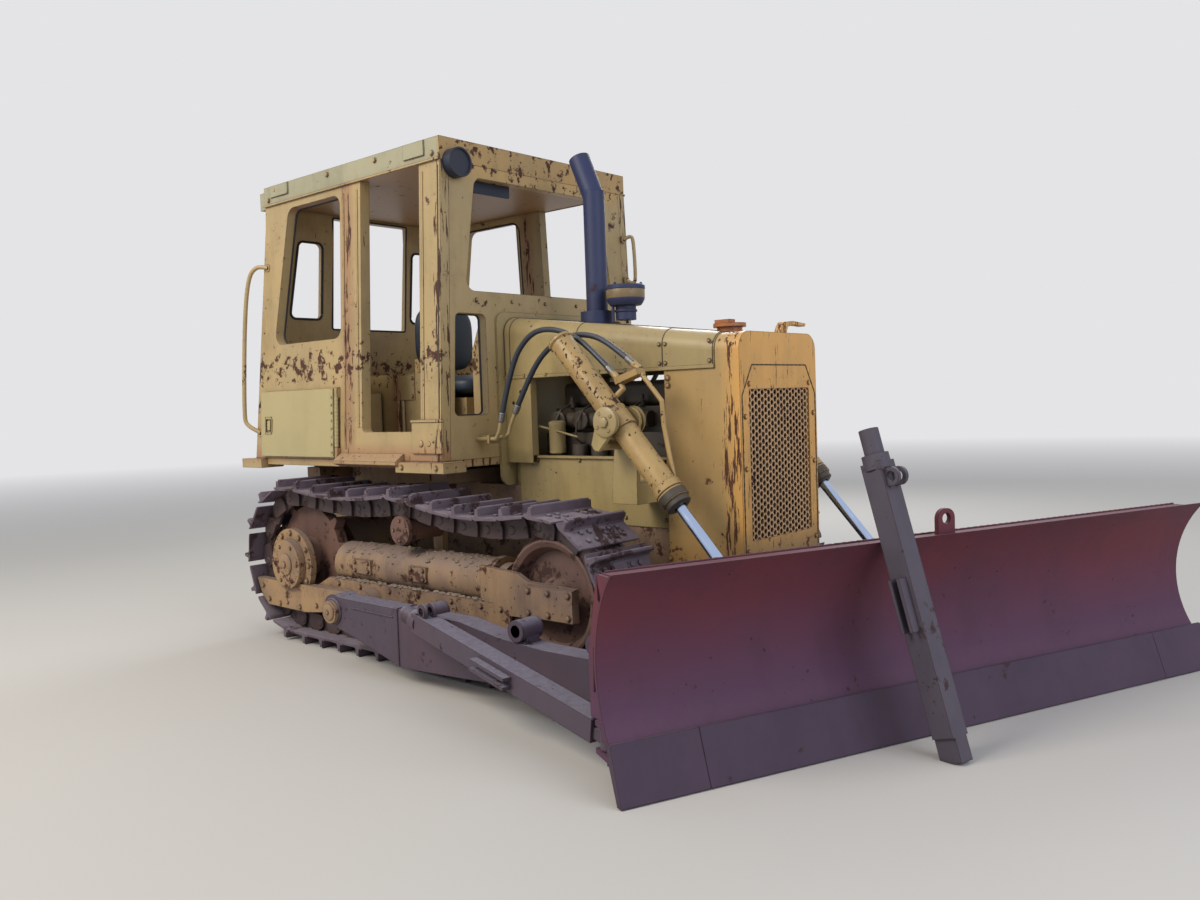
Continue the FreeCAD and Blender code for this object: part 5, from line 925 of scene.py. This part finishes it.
door_face = -828.0
knuckles = [turned(((11.6, 0), (11.6, 19)), (338, -817, z), UP, sides=12) for z in range(1132, 1404, 22)]
latch = [block(x0, x1, door_face - 3, door_face + 2, z0, z1)
         for x0, x1, z0, z1 in ((-402, -326, 1206, 1212), (-402, -326, 1308, 1314), (-402, -396, 1206, 1314),
                                (-332, -326, 1206, 1314))]
latch.append(block(-384, -352, door_face + 2, door_face + 9, 1232, 1290))
latch += bolts([(-364, door_face + 9, 1222), (-364, door_face + 9, 1300)], RIGHT, 5, 3)
strip = block(296, 322, door_face - 3, door_face, 1080, 1460)
rivets = bolts([(309, door_face - 3, z) for z in range(1100, 1460, 45)], RIGHT, 5, 3)
door_paint = weathered("tool_door_enamel", "#BAAA78", "#AEA278", chips=0.12, edge=0.5, dusty=0.4, grime=0.3,
                       grime_and_shade="#877A50", grain=0.7)
for side, turn_over in SIDES:
    fittings = [leaned(part) for part in knuckles + latch + [strip] + rivets]
    build("door_fittings_" + side, turn_over(fittings), door_paint, "door_" + side, crease=30)
    finish_nodes(door_paint, "tool_door_" + side)
    finish_nodes(cab_paint, "cab_side_" + side, "tool_box_" + side)

gutter = prism([(-737, 2600), (-745, 2600), (-745, 2612), (-741, 2612), (-741, 2606), (-737, 2606)], -430, 1237, "cab")
cab_parts = both([gutter]) + [leaned(part) for part in bolts([(1150, -800, 1150)], RIGHT, 14, 14)]
cab_parts += bolts([(x, -842, 1028) for x in (960, 1240)], RIGHT, 12, 9)
cab_parts += bolts([(x, -733, z) for x, z in ((-300, 2690), (250, 2690), (700, 2690), (1180, 2640), (-380, 2640))],
                   RIGHT, 12, 9)
cab_parts += bolts([(1238, y, 1900) for y in (-520, -260, 0, 260, 520)], AHEAD, 8, 5)
post_strip = [block(1090, 1104, -803, -799, 1240, 2560), block(520, 534, -803, -799, 1240, 2560),
              block(395, 407, -803, -799, 1120, 2560)]
cab_parts += both([leaned(part) for part in post_strip])


def bent(corners, rounds=4):
    """Corners of a path cut again and again, each side replaced by its points at 1/4 and 3/4, ends kept."""
    path = np.asarray(corners, float)
    for _ in range(rounds):
        near, far = path[:-1] * 0.75 + path[1:] * 0.25, path[:-1] * 0.25 + path[1:] * 0.75
        path = np.concatenate([path[:1], np.stack([near, far], axis=1).reshape(-1, 3)[1:-1], path[-1:]])
    return path


half_at = lambda z: BASE_HALF - (z - BASE_Z) * (BASE_HALF - TOP_HALF) / (TOP_Z - BASE_Z)
rear_rail = [(x, -half_at(z) - out, z) for x, out, z in ((-400, -2, 2230), (-470, 42, 2245), (-520, 69, 2170),
             (-555, 75, 1860), (-600, 57, 1330), (-585, 49, 1265), (-505, -2, 1215))]
front_loop = [(1250 + ahead, half_at(z) + out, z) for ahead, out, z in ((0, -44, 2330), (40, -14, 2352),
              (53, -12, 2318), (53, -10, 2092), (40, -14, 2058), (0, -40, 2080))]
feet_of = [turned(((13, 0), (24, 0), (24, 7), (13, 7), (13, 0)), place, axis, sides=20)
           for place, axis in ((front_loop[0], AHEAD), (front_loop[-1], AHEAD), (rear_rail[0], RIGHT),
                               (rear_rail[-1], RIGHT))]
rear_tube = carried(bent(rear_rail), 13, 14)
build("grab_rail_tubes", [rear_tube, carried(bent(front_loop), 11, 14)] + mirrored([rear_tube]) + feet_of, cab_paint,
      stands_for=("grab_rails",), crease=50)
# stepped foot and button bolt of the front post, and the bolted plate and pipes on the console
foot = [block(1010, 1251, -812, -798, 1100, 1268), block(1004, 1253, -817, -798, 1262, 1276)]
foot += [turned(((17, 0), (17, 5), (11, 10), (0.5, 11)), (1088, -812, 1151), RIGHT, sides=20)]
cab_parts += both([leaned(part) for part in foot])
cab_parts += [block(392, 596, -446, -440, 1385, 1532)] + bolts([(x, -446, z) for x in (412, 576) for z in (1405, 1512)],
                                                               RIGHT, 9, 6)
cab_parts += [turned(((9, 0), (9, 300)), (x, -451, 1085), UP, sides=12) for x in (450, 492)]
build("cab_fittings", cab_parts, cab_paint, crease=30)
# Dark strips down the front posts: rust, and painted shade of their grooves.
groove = leaned(block(1216, 1225, -801.2, -799, 1280, 2575))
build("post_grooves", both([groove]), seam_grime_and_shade)
finish_nodes(header_paint, "cab_front")
finish_nodes(cab_paint, "cab_rear", "cab_floor", "consoles")
finish_nodes(roof_paint, "cab_roof")
lamp_black = weathered("dusty_lamp_black", "#141B2E", "#1C2338", rust="#171A26", dust="#4A4A52", chips=0.1, edge=0.2,
                       dusty=0.3, grime=0.3, gloss=0.45, grime_and_shade="#202433")
finish_nodes(lamp_black, "lamp", "visor")


# Seat
# Foam cushions in black vinyl on a steel pedestal, crowned in the middle and
# rounded at every edge.
seat_vinyl = weathered("cracked_seat_vinyl", "#1C2A3A", "#263648", rust="#141A22", dust="#5E666E", chips=0.1, edge=0.15,
                       dusty=0.4, grime=0.3, gloss=0.45, grime_and_shade="#1E2028")


def pad(low, high, crown, power=3.6):
    """Cushion over a box: superellipsoid |x|^p + |y|^p + |z|^p = 1 stretched to the box, its broad faces crowned."""
    low, high = np.asarray(low, float), np.asarray(high, float)
    u, v = np.meshgrid(np.linspace(-math.pi, math.pi, 65), np.linspace(-math.pi / 2, math.pi / 2, 33)[1:-1],
                       indexing="ij")
    shape = lambda value: np.sign(value) * np.abs(value) ** (2.0 / power)
    x, y, z = shape(np.cos(v)) * shape(np.cos(u)), shape(np.cos(v)) * shape(np.sin(u)), shape(np.sin(v))
    points = np.stack([x, y, z], axis=-1)
    thin = int(np.argmin(high - low))
    broad = [a for a in range(3) if a != thin]
    dome = np.prod(1 - np.clip(np.abs(points[..., broad]), 0, 1) ** 2, axis=-1)
    points[..., thin] *= 1 - crown + crown * dome
    points = (low + high) / 2 + points * (high - low) / 2
    rows, columns = u.shape[0] - 1, u.shape[1]
    grid = points[:-1].reshape(-1, 3)
    a = (np.arange(rows)[:, None] * columns + np.arange(columns - 1)).ravel()
    b = (((np.arange(rows) + 1) % rows)[:, None] * columns + np.arange(columns - 1)).ravel()
    faces = np.stack([a, b, b + 1, a + 1], axis=1).tolist()
    faces += [(np.arange(rows) * columns).tolist(), (np.arange(rows) * columns + columns - 1).tolist()[::-1]]
    return grid, faces


cushion = build("seat_cushion_pad", [pad((322, -258, 1391), (848, 218, 1529), 0.22)], seat_vinyl,
                stands_for=("seat_cushion",), crease=60)
backrest = build("seat_back_pad", [pad((321.5, -238, 1562), (429, 198, 1958), 0.25)], seat_vinyl,
                 stands_for=("seat_back",), crease=60)
finish_nodes(cab_paint, "seat_pedestal")
